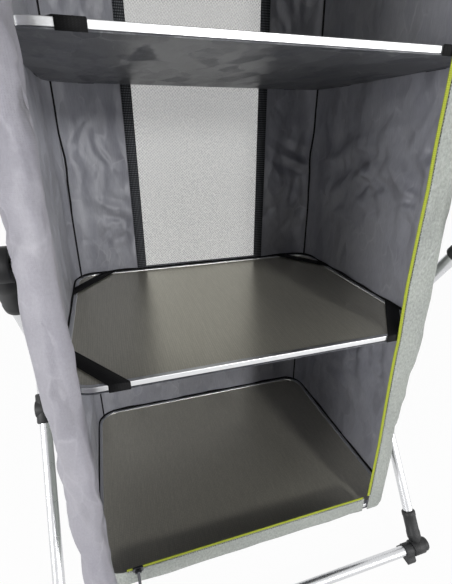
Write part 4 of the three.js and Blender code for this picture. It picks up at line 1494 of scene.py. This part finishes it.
    def above_band(self, z: Rows) -> Rows:
        """Return 0 at the heights where a board comes to lie in the fold, and 1 a little above them."""
        share = ((z - LAYOUT.floor_top) / LAYOUT.shelf_height) % 1
        return np.clip((share - self.fold_band) / self.band_fade, 0, 1) ** 2

    def kept_off_boards(self, out: Rows, z: Rows) -> Rows:
        """Return how far a wall stands out, never inwards where a board comes to lie in the fold."""
        room = self.board_room + self.free_room * self.above_band(z)
        return np.where(out < 0, -room * np.tanh(-out / room), out)

    def zip_place(self, z: Rows) -> Rows:
        """Return how far the upright zip wanders along X at a height.

        Args:
            z: Heights in millimetres.

        Returns:
            Distances in millimetres.
        """
        heights = [134, 290, 382, 427, 460, 484, 528, 566, 640, 690, 745, 900, 1273]
        places = [10, 9.5, 6.2, 5, 4.6, 5.4, 3, 1.4, 1.8, 2.6, 1, 1.5, 0]
        return np.interp(z, heights, places)

    def corner_swell(self, z: Rows) -> Rows:
        """Return how far the right front corner stands out at a height.

        Args:
            z: Heights in millimetres.

        Returns:
            Distances in millimetres.
        """
        heights = [134, 289, 316, 341, 389, 412, 436, 457, 478, 497, 536, 566, 634, 676, 760, 1273]
        swell = [0, -4, -1.8, -1.2, 0, 0.4, 3.6, 5.2, 5.4, 3.8, 4.2, 3.2, 2.7, 1.6, 2, 0]
        return np.interp(z, heights, swell)

    def wall_right(self) -> None:
        """Build the right wall, which wraps round the front corner to the zip."""
        start = [[self.zip_line, LAYOUT.front]]
        line = Line.through(np.concatenate([start, self.arc(1, -1, -90, 0), self.arc(1, 1, 0, 44.97)]))
        size = (line.length, LAYOUT.wall_flat)
        crumple = Crumple(
            seed=11, swell=1.6, slope=0.6, count=190, size=size, upright=0.3, waves=(16, 64),
            ridges=280, ridge=2.8, grain=0.6,
        )
        corner_end = LAYOUT.corner_middle[0] - self.zip_line + self.radius * math.pi / 2
        swell_middle, swell_width = 0.62 * corner_end, 34

        def push(run: Rows, z: Rows) -> Rows:
            """Return how far the wall stands out.

            Args:
                run: Places along the wall in millimetres.
                z: Heights in millimetres.

            Returns:
                Distances in millimetres.
            """
            at_front = np.exp(-(((run - swell_middle) / swell_width) ** 2))
            sewn = np.clip((line.length - run) / 60, 0, 1) * np.clip(run / 25, 0.15, 1)
            crumpled = sewn * (1 - 0.75 * at_front) * (crumple.height(run, z) - self.inset)
            loose = self.kept_off_legs(self.between_boards(z) * crumpled)
            return self.kept_off_boards(loose + at_front * self.corner_swell(z), z)

        def slide(run: Rows, z: Rows) -> Rows:
            """Return how far the zip draws the wall along X."""
            return self.zip_place(z) * np.clip(1 - run / 40, 0, 1)

        self.wall("wall_right", line, (3.1, 3.4), push, slide)

    def wall_left(self) -> None:
        """Build the left wall, from the back seam to the door's seam."""
        seam = 180 + self.seam_degrees
        line = Line.through(np.concatenate([self.arc(-1, 1, 135.03, 180), self.arc(-1, -1, 180, seam)]))
        size = (line.length, LAYOUT.wall_flat)
        crumple = Crumple(
            seed=23, swell=2, slope=0.2, count=40, size=size, upright=0.85, ridges=30, ridge=1.6
        )

        def push(run: Rows, z: Rows) -> Rows:
            """Return how far the wall stands out."""
            loose = line.freed(run, 50, 30) * (crumple.height(run, z) - self.left_inset)
            return self.kept_off_legs(self.kept_off_boards(self.between_boards(z) * loose, z))

        self.wall("wall_left", line, (4, 4), push)

    def wall_back(self) -> None:
        """Build the back wall round its window."""
        line = Line.through(np.concatenate([self.arc(1, 1, 45.03, 90), self.arc(-1, 1, 90, 134.97)]))
        size = (line.length, LAYOUT.wall_flat)
        crumple = Crumple(
            seed=31, swell=2.2, slope=0.75, count=200, size=size, upright=0.6, waves=(15, 60),
            ridges=300, ridge=3, grain=0.6,
        )
        low, high = self.window_heights
        left, right = self.window_left - self.tape, self.window_right + self.tape

        def push(run: Rows, z: Rows) -> Rows:
            """Return how far the wall stands out, flat beside the window's tape.

            Args:
                run: Places along the wall in millimetres.
                z: Heights in millimetres.

            Returns:
                Distances in millimetres.
            """
            x = line.at(run / line.length)[0][:, 0]
            aside = np.maximum(np.maximum(left - x, x - right), 0)
            above = np.maximum(np.maximum(low - z, z - high - self.tape), 0)
            clear = np.clip(np.hypot(aside, above) / 14, 0, 1)
            free = self.between_boards(z) * line.freed(run, 16, 16) * clear
            out = self.back_room * np.tanh(crumple.height(run, z) / self.back_room)
            return self.kept_off_boards(free * out, z)

        self.wall("wall_back", line, (3, 3.4), push, opening=(left, right, low, high + self.tape))

    @property
    def window_heights(self) -> tuple[float, float]:
        """Heights of the window's lower and upper edge."""
        return LAYOUT.boards["middle"] + self.window_foot, LAYOUT.wall_top - self.window_head

    def window(self) -> None:
        """Build the mesh and the tape round it, which is one flat ring."""
        low, high = self.window_heights
        size = (self.window_right - self.window_left, high - low)
        ripple = Crumple(
            seed=41, swell=0.7, slope=0.08, count=20, size=size, upright=0.7, ridges=8, ridge=1.2
        )
        y, lap = -LAYOUT.front, self.window_lap
        line = Line.through(np.array([[self.window_right + lap, y], [self.window_left - lap, y]]))

        def push(run: Rows, z: Rows) -> Rows:
            """Return how far the mesh stands out."""
            held = line.freed(run, 20, 20) * np.clip((z - low) / 30, 0, 1)
            return self.kept_off_boards(held * ripple.height(run, z), z)

        bm = self.upright(line, low - lap / 2, high + lap, (4, 6), push)
        self.hung(
            "window_mesh_cloth", bm, "base", Finish.MESH, ["window_mesh"],
            (line.length, high - low + 1.5 * lap), ["wall_back_cloth"], held="stretched",
        )
        left, right = self.window_left - self.tape, self.window_right + self.tape
        y -= self.tape_set
        edge_line = Line.through(np.array([[right, y], [left, y]]))

        def wave(run: Rows, z: Rows) -> Rows:
            """Return how far the tape stands out."""
            return 0.3 * np.sin(z / 37) + 0.21 * np.sin((right - run) / 23 + z / 61)

        bm = self.upright(edge_line, low - lap, high + self.tape, (9, 9), wave)
        opened(bm, (self.window_left, self.window_right), (low, high))
        self.hung(
            "window_tape_ring", bm, "base", Finish.TAPE, ["window_tape"],
            (self.tape, 2 * (high - low) + right - left), ["wall_back_cloth"], held="stretched",
        )

    def front_strips(self) -> None:
        """Build the header above and the sill below the door's opening."""
        seam = 180 + self.seam_degrees + 1
        line = Line.through(np.concatenate([self.arc(-1, -1, seam, 270), [[self.zip_line, LAYOUT.front]]]))
        strips = {
            "door_header": ("base", LAYOUT.wall_top - self.header, LAYOUT.wall_top, 5, True),
            "door_sill": ("floor_shelf", LAYOUT.wall_bottom, LAYOUT.wall_bottom + self.sill, 6, False),
        }
        for name, (body, low, high, seed, keep) in strips.items():
            crumple = Crumple(
                seed=seed, swell=0.8, slope=0.1, count=14, size=(line.length, high - low), upright=0.3,
                ridges=10, ridge=0.8,
            )

            def push(run: Rows, z: Rows, crumple: Crumple = crumple) -> Rows:
                """Return how far the strip stands out."""
                return 0.6 * crumple.height(run, z) * line.freed(run, 20, 20)

            bm = self.upright(line, low, high, (4, 4), push)
            self.hung(
                f"{name}_cloth", bm, body, Finish.OUTER_CLOTH, [name], (line.length, high - low),
                ["roof_cloth" if keep else "floor_board"], inside=Finish.GREY_CLOTH, keep=keep,
            )

    def piped_seams(self) -> None:
        """Build the thin black piping in the two back corners, drawn a little thicker than the real cord so
        that its black also stands for the shadow in the seam's gap.
        """
        heights = np.linspace(LAYOUT.wall_bottom, LAYOUT.wall_top, 60)
        free = self.between_boards(heights) * self.above_band(heights)
        wander = (1.6 + 1.9 * np.sin(heights / 34) + 1.2 * np.sin(heights / 14 + 1)) * free
        for side in Side:
            angle = 90 - 45 * side.sign
            x, y = self.arc(side.sign, 1, angle, angle + 0.1)[0]
            y_route = y + 0.5 * wander - 0.8 + LAYOUT.shift
            points = np.stack([x - side.sign * wander, y_route, heights], axis=1)
            self.cord(f"corner_piping_{side.label}", points)

    def cord(self, stands_for: str, points: Rows) -> None:
        """Sweep a sewn-in cord along points.

        Args:
            stands_for: The CAD node that it replaces.
            points: Its route in millimetres, rows of x, y and z.
        """
        name = f"{stands_for}_cord"
        curve = bpy.data.curves.new(name, "CURVE")
        # The cord's radius takes in a painted shadow: its black stands for the shadow in the seam's gap too.
        curve.dimensions, curve.bevel_depth, curve.bevel_resolution = "3D", self.piping * MM, 3
        curve.use_fill_caps = True
        spline = curve.splines.new("POLY")
        spline.points.add(len(points) - 1)
        for knot, spot in zip(spline.points, points * MM, strict=True):
            knot.co = (*spot, 1)
        drawn = bpy.data.objects.new(f"{name}_curve", curve)
        bpy.context.scene.collection.objects.link(drawn)
        swept = bpy.data.meshes.new_from_object(drawn.evaluated_get(bpy.context.evaluated_depsgraph_get()))
        bpy.data.objects.remove(drawn)
        bm = bmesh.new()
        bm.from_mesh(swept)
        threaded(bm, lambda spot: (spot.x + spot.y, spot.z))
        fitted(name, bm, "base", Finish.STRAP, [stands_for], keep=LAYOUT.fold_keep)

    def shelf_bindings(self) -> None:
        """Build the black binding that stands up round each board, between its edging and the walls."""
        radius = LAYOUT.corner + 0.9
        ring = [
            LAYOUT.corner_middle * [sx, sy] + radius * round_points(np.linspace(start, end, 20))
            for sx, sy, start, end in ((1, -1, -16, 0), (1, 1, 0, 90), (-1, 1, 90, 180), (-1, -1, 180, 196))
        ]
        line = Line.through(np.concatenate(ring), 500)
        for level, (name, top) in enumerate(LAYOUT.boards.items()):

            def place(u: Rows, v: Rows, top: float = top, level: int = level) -> Rows:
                """Return the binding's points for shares round and up.

                Args:
                    u: Shares round.
                    v: Shares up.
                    top: The board's top in millimetres.
                    level: Which board it is.

                Returns:
                    Rows of x, y and z in millimetres.
                """
                point, normal = line.at(u)
                run = u * line.length
                lift = 0.9 * np.sin(run / 29 + level) + 0.6 * np.sin(run / 11 + 2 * level)
                lean = 0.25 * np.sin(run / 17 + level)
                flat = point + normal * (lean * v)[:, None]
                z = top - 6 + v * (self.binding + lift)
                return np.stack([flat[:, 0], flat[:, 1] + LAYOUT.shift, z], axis=1)

            bm = cloth_grid((420, 6), place, (line.length, self.binding))
            fitted(f"{name}_shelf_binding", bm, f"{name}_shelf", Finish.STRAP, thick=0.8)

    def shelf_cloths(self) -> None:
        """Build the cloth under each board."""
        lap = self.shelf_lap
        size = (2 * (LAYOUT.half_width + lap), 2 * (LAYOUT.half_depth + lap), 1.2)
        for name, top in LAYOUT.boards.items():
            slab = rounded_slab(size, LAYOUT.corner + lap, LAYOUT.spot(0, 0, top - self.under_board))
            threaded(slab, lambda spot: spot.xy)
            piece = fitted(
                f"{name}_shelf_cloth_sewn", slab, f"{name}_shelf", Finish.SHELF_CLOTH,
                [f"{name}_shelf_cloth"], smooth=False,
            )

    def roof(self) -> None:
        """Build the roof."""
        reach = self.roof_edge
        size = (2 * (LAYOUT.half_width + reach), 2 * (LAYOUT.half_depth + reach), 1.4)
        middle = LAYOUT.spot(0, 0, LAYOUT.top - self.roof_drop + 0.7)
        slab = rounded_slab(size, LAYOUT.corner + reach, middle)
        threaded(slab, lambda spot: spot.xy)
        piece = fitted("roof_cloth_sewn", slab, "top", Finish.OUTER_CLOTH, ["roof_cloth"], smooth=False)

    def tunnels(self) -> None:
        """Build the two tunnels that hang the roof on the top rails."""
        edge = LAYOUT.half_depth + self.roof_edge - LAYOUT.pivot_depth
        ring = self.tunnel_radius * round_points(np.linspace(-90, 205, 40))
        plan = (("back_tunnel", "top", 1, 1.4), ("front_tunnel", "front_top", -1, 2.2))
        for name, body, sign, gap in plan:
            low = gap - self.roof_drop
            line = Line.through(
                np.concatenate([[[edge - 26, low], [edge, low]], ring, [[edge + 1, low + 1.6]]]), 200
            )

            def place(u: Rows, v: Rows, line: Line = line, sign: int = sign) -> Rows:
                """Return the tunnel's points for shares along and round the rail.

                Args:
                    u: Shares along.
                    v: Shares round.
                    line: The tunnel's line, seen from its end.
                    sign: Direction along Y.

                Returns:
                    Rows of x, y and z in millimetres.
                """
                point, normal = line.at(v)
                x = self.tunnel * (u - 0.5)
                ruck = 0.5 * np.sin(x / 17 + 3 * v) * np.clip(np.sin(np.pi * v), 0, 1)
                point = point + normal * np.abs(ruck)[:, None]
                y = sign * (LAYOUT.pivot_depth + point[:, 0]) + LAYOUT.shift
                return np.stack([x, y, LAYOUT.top + point[:, 1]], axis=1)

            bm = cloth_grid((60, 50), place, (self.tunnel, line.length))
            node_name, rail = ("roof_cloth", "back") if sign > 0 else ("front_tunnel", "front")
            self.hung(
                f"{name}_cloth", bm, body, Finish.OUTER_CLOTH, [node_name], (self.tunnel, line.length),
                [f"top_rail_{rail}_tube"], keep=False,
            )

    def build(self) -> None:
        """Build the whole cloth body."""
        self.wall_right()
        self.wall_left()
        self.wall_back()
        self.window()
        self.front_strips()
        self.piped_seams()
        self.shelf_bindings()
        self.shelf_cloths()
        self.roof()
        self.tunnels()


# Door and zip


@dataclass
class Door:
    """The door, thrown open to the left and gathered round itself in upright folds.

    Attributes:
        low: Height of its lower edge.
        high: Height of its upper edge.
        height: Its cut height.
        start: Where it leaves its seam, in plan.
        right: The gathered door's right side.
        left: The gathered door's left side.
        wrap: Depths of the broad turn's four control points, from the seam.
        fold_back: Depth of the inner folds' back turns.
        fold_front: Depth of the inner folds' front turns.
        bend: Radius of an inner turn.
        folds: How many inner folds there are.
        width: The cloth's flat width, without its half of the zip.
        thick: The cloth's thickness.
        room: How far the outer turn can lean towards the inner folds.
    """

    low: float = 173.2
    high: float = 1207.4
    height: float = 1034
    start: tuple[float, float] = (-232.07, -191.1)
    right: float = -218.3
    left: float = -254.3
    wrap: tuple[float, float, float, float] = (84.8, 109, 94.2, 67)
    fold_back: float = 24.2
    fold_front: float = 76.8
    bend: float = 3.2
    folds: int = 2
    width: float = 418.2
    thick: float = 0.7
    room: float = 8

    def plan(self) -> Line:
        """Return the door's plan line, from its seam to its free edge.

        Returns:
            The line.
        """
        sides = (self.right, self.right, self.left, self.left)
        pulls = np.array([[side, self.start[1] - depth] for side, depth in zip(sides, self.wrap)])
        t = np.linspace(0, 1, 40)[:, None]
        weights = np.hstack([(1 - t) ** 3, 3 * t * (1 - t) ** 2, 3 * t**2 * (1 - t), t**3])
        pieces = [np.array([self.start]), weights @ pulls]
        back, front = self.start[1] - self.fold_back, self.start[1] - self.fold_front
        turn = np.linspace(math.pi, 0, 10)
        for fold in range(self.folds):
            centre = self.left + (4 * fold + 1) * self.bend
            for middle, y, way in ((centre, back, 1), (centre + 2 * self.bend, front, -1)):
                arc = [middle + self.bend * np.cos(turn), y + way * self.bend * np.sin(turn)]
                pieces.append(np.stack(arc, axis=1))
        points = np.concatenate(pieces)
        last = points[-1] + [0, self.width - runs(points)[-1]]
        return Line.through(np.concatenate([points, [last]]), 900)

    def drawn(self, y: Rows, z: Rows) -> Rows:
        """Return a place's depth, drawn back a little halfway up."""
        rise = np.clip((z - self.low) / (self.high - self.low), 0, 1)
        return y + (self.start[1] - y) * 0.04 * np.sin(np.pi * rise) ** 2

    def build(self) -> None:
        """Build the gathered door and its half of the zip."""
        line = self.plan()
        size = (line.length, self.height)
        soft = Crumple(
            seed=57, swell=0.9, slope=0.3, count=200, size=size, upright=0.6, waves=(14, 60),
            ridges=260, ridge=2.2, grain=0.5,
        )
        outer = (math.dist(self.start, (self.right, self.start[1] - self.wrap[0])) + 60) / line.length

        def place(u: Rows, v: Rows) -> Rows:
            """Return the door's points for shares across and up.

            Args:
                u: Shares across.
                v: Shares up.

            Returns:
                Rows of x, y and z in millimetres.
            """
            z = self.low + (self.high - self.low) * v
            point, normal = line.at(u)
            free = np.clip(u * 9, 0, 1) * np.clip(1 - (u - outer) * 7, 0.16, 1)
            out = free * (soft.height(u * line.length, z - self.low) + 1.6)
            out = np.where(out < 0, out * 0.45, self.room * np.tanh(out / self.room))
            flat = point + normal * out[:, None]
            return np.stack([flat[:, 0], self.drawn(flat[:, 1], z) + LAYOUT.shift, z], axis=1)

        drop = self.high - self.low
        piece = fitted(
            "door_gathered_cloth", cloth_grid((200, 240), place, (line.length, drop)), "door",
            Finish.OUTER_CLOTH, ["door_cloth"], keep=LAYOUT.fold_keep, thick=self.thick,
            inside=Finish.DOOR_CLOTH,
        )
        LOG.info("the door's flat width is %.0f mm", line.length)
        end_x, end_y = line.points[-1]
        heights = np.linspace(self.low, self.high, 120)
        depths = self.drawn(end_y + 3.2, heights) + LAYOUT.shift
        route = np.stack([np.full_like(heights, end_x), depths, heights], axis=1)
        Zip().coil("door_zip_coil", route, "door", ["door_zip_edge"], True, (0, 1, 0), (1, 0, 0))


@dataclass
class Zip:
    """The fixed half of the zip, its stitching, its slider and its pull.

    Attributes:
        width: Width of a half's coil.
        rise: How far the coil stands out.
        line: Place of the upright run along X.
        start: Left end of the level runs.
        low: Lower end of the upright run.
        high: Its upper end.
        tooth: From one tooth to the next.
        stitch: From one stitch to the next.
        stitch_gap: Room between two stitches.
        stitch_away: From the coil's edge to its stitches.
    """

    width: float = 5
    rise: float = 1.2
    line: float = 188.7
    start: float = -213
    low: float = 171
    high: float = 1216
    tooth: float = 1.6
    stitch: float = 3.6
    stitch_gap: float = 1.3
    stitch_away: float = 1.6

    def coil(
        self, name: str, points: Rows, body: str, nodes: Sequence[str], keep: bool, across: Spot,
        out: Spot,
    ) -> None:
        """Build a run of zip coil as a ridged band.

        Args:
            name: The piece's name.
            points: Its middle line in millimetres, rows of x, y and z.
            body: The body that it rides on.
            nodes: The CAD nodes that it stands for.
            keep: Whether the fold flattens it.
            across: The band's unit direction across.
            out: The unit direction in which the coil stands out.
        """
        length = runs(points)[-1]

        def place(u: Rows, v: Rows) -> Rows:
            """Return the coil's points for shares across and along.

            Args:
                u: Shares across.
                v: Shares along.

            Returns:
                Rows of x, y and z in millimetres.
            """
            run = v * length
            round_top = np.sqrt(np.clip(1 - (2 * u - 1) ** 2, 0, 1))
            tooth = 0.8 + 0.2 * np.cos(math.tau * (run / self.tooth + 0.6 * u))
            raised = np.outer(self.rise * round_top * tooth, out)
            return at_run(points, run) + np.outer((u - 0.5) * self.width, across) + raised

        bm = cloth_grid((8, max(8, round(length / self.tooth * 2))), place, (self.width, length))
        fitted(name, bm, body, Finish.ZIP, nodes, keep=LAYOUT.fold_keep if keep else None, thick=0.5)

    def stitches(self, name: str, points: Rows, body: str, keep: bool) -> None:
        """Build a row of dark stitches.

        Args:
            name: The piece's name.
            points: Their line in millimetres, rows of x, y and z.
            body: The body that they ride on.
            keep: Whether the fold flattens them.
        """
        row = bmesh.new()
        length = self.stitch - self.stitch_gap
        for start in np.arange(0, runs(points)[-1] - self.stitch, self.stitch):
            ends = [Vector(at_run(points, start + far)) for far in (0, length)]
            poured(row, turned([(0, 0), (0.3, 0.25), (0.32, 1.2), (0.3, 2.1), (0, length)], along(*ends), 6))
        threaded(row, lambda spot: (spot.x, spot.z))
        fitted(name, row, body, Finish.STRAP, keep=LAYOUT.fold_keep if keep else None)

    def build(self, cloth: ClothBody) -> None:
        """Build the zip's runs, its stitching, its slider and its pull.

        Args:
            cloth: The cloth body, whose zip line the upright run follows.
        """
        depth = LAYOUT.front + LAYOUT.shift
        away = self.width / 2 + self.stitch_away
        heights = np.linspace(self.low, self.high, 160)
        x = self.line + cloth.zip_place(heights)
        jamb = np.stack([x, np.full_like(heights, depth - 0.6), heights], axis=1)
        self.coil("zip_jamb_coil", jamb, "base", ["zip_jamb"], True, (1, 0, 0), (0, -1, 0))
        self.stitches("zip_jamb_stitches", jamb + [away, -0.1, 0], "base", True)
        across = np.linspace(self.start, self.line, 80)
        level_runs = {
            "zip_header": (1213.4, "base", ["zip_jamb"], True),
            "zip_sill": (167.2, "floor_shelf", ["zip_sill"], False),
        }
        for name, (height, body, nodes, keep) in level_runs.items():
            run = np.stack([across, np.full_like(across, depth), np.full_like(across, height)], axis=1)
            self.coil(f"{name}_coil", run, body, nodes, keep, (0, 0, 1), (0, -1, 0))
            self.stitches(f"{name}_stitches", run + [0, -0.8, away if keep else -away], body, keep)
        for name in ("zip_slider", "zip_pull"):
            fitted(f"{name}_cast", joined_copy(name), name, Finish.ZINC, [name], rounding=(0.3, 2, 30))


# Studio


@dataclass
class Studio:
    """Camera, floor, world and lamps.

    Attributes:
        location: The camera's place in metres from the middle of the boards.
        tilt: How far it is tipped up from looking straight down in degrees.
        turn: How far it is turned to the left in degrees.
        lens: Its focal length in millimetres.
        aim: Where the lamps point in metres.
    """

    location: Spot = (-0.1774, -0.5681, 0.7587)
    tilt: float = 66.73
    turn: float = -17.2
    lens: float = 23.34
    aim: Spot = (0, 0.04, 0.62)

    def camera(self) -> None:
        """Place the camera where the photograph was taken from."""
        data = bpy.data.cameras.new("camera")
        data.lens, data.sensor_width, data.sensor_fit = self.lens, 36, "AUTO"
        data.clip_start, data.clip_end = 0.01, 50
        camera = bpy.data.objects.new("camera", data)
        x, y, z = self.location
        camera.location = (x, y + LAYOUT.shift * MM, z)
        camera.rotation_euler = (math.radians(self.tilt), 0, math.radians(self.turn))
        bpy.context.scene.collection.objects.link(camera)
        bpy.context.scene.camera = camera

    def lamp(self, name: str, place: Spot, size: float, power: float) -> None:
        """Add a square soft lamp that looks at the middle of the cupboard.

        Args:
            name: The lamp's name.
            place: Where it stands in metres.
            size: Its side in metres.
            power: Its power in watts.
        """
        data = bpy.data.lights.new(name, "AREA")
        data.size, data.energy = size, power
        lamp = bpy.data.objects.new(name, data)
        lamp.location = place
        lamp.rotation_euler = (Vector(self.aim) - Vector(place)).to_track_quat("-Z", "Y").to_euler()
        bpy.context.scene.collection.objects.link(lamp)

    def world(self) -> None:
        """Make a white world for the eye and a dimmer one for the light."""
        world = bpy.data.worlds.new("studio")
        tree = emptied(world)
        path = node(tree, "LightPath").outputs
        sharp = node(
            tree, "Math", {0: path["Is Camera Ray"], 1: path["Is Transmission Ray"]}, operation="MAXIMUM"
        )
        both = node(tree, "Math", {0: sharp, 1: path["Is Glossy Ray"]}, operation="MAXIMUM")
        soft = node(tree, "Background", {"Color": linear("#F4F6FA"), "Strength": 0.02})
        white = node(tree, "Background", {"Color": linear("#FFFFFF"), "Strength": 1.0})
        node(tree, "OutputWorld", {"Surface": node(tree, "MixShader", {0: both, 1: soft, 2: white})})
        bpy.context.scene.world = world

    def floor(self) -> None:
        """Lay the plain pale floor."""
        bm = bmesh.new()
        bmesh.ops.create_grid(bm, x_segments=2, y_segments=2, size=6)
        material = bpy.data.materials.new("studio_floor")
        tree = emptied(material)
        path = node(tree, "LightPath").outputs
        paint = node(tree, "BsdfDiffuse", {"Color": linear("#F2F2F2")})
        glow = node(tree, "Emission", {"Color": linear("#FFFFFF"), "Strength": 1.0})
        seen = node(tree, "Math", {0: path["Is Camera Ray"], 1: path["Is Glossy Ray"]}, operation="MAXIMUM")
        share = node(tree, "Math", {0: seen, 1: 0.97}, operation="MULTIPLY")
        node(tree, "OutputMaterial", {"Surface": node(tree, "MixShader", {0: share, 1: paint, 2: glow})})
        floor = finished("studio_floor", bm, [material], smooth=False)

    def build(self) -> None:
        """Build the whole studio."""
        bpy.context.scene.view_settings.view_transform = "Standard"
        self.camera()
        self.world()
        self.floor()
        self.lamp("key_front", (0.58, -2.2, 1.2), 0.26, 17.5)
        self.lamp("soft_right", (1.7, -1.6, 0.55), 1.2, 21)
        self.lamp("fill_left_side", (-2.1, -1.0, 0.7), 0.9, 34)
        self.lamp("back", (-0.7, 2.5, 1.5), 1.4, 12)


def main() -> None:
    """Build the cupboard and its studio."""
    logging.basicConfig(level=logging.INFO, format="%(name)s: %(message)s")
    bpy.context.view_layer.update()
    Studio().build()
    ScissorFrame().build()
    FramedBoards().build()
    cloth = ClothBody()
    cloth.build()
    Door().build()
    Zip().build(cloth)


if __name__ == "__main__":
    main()
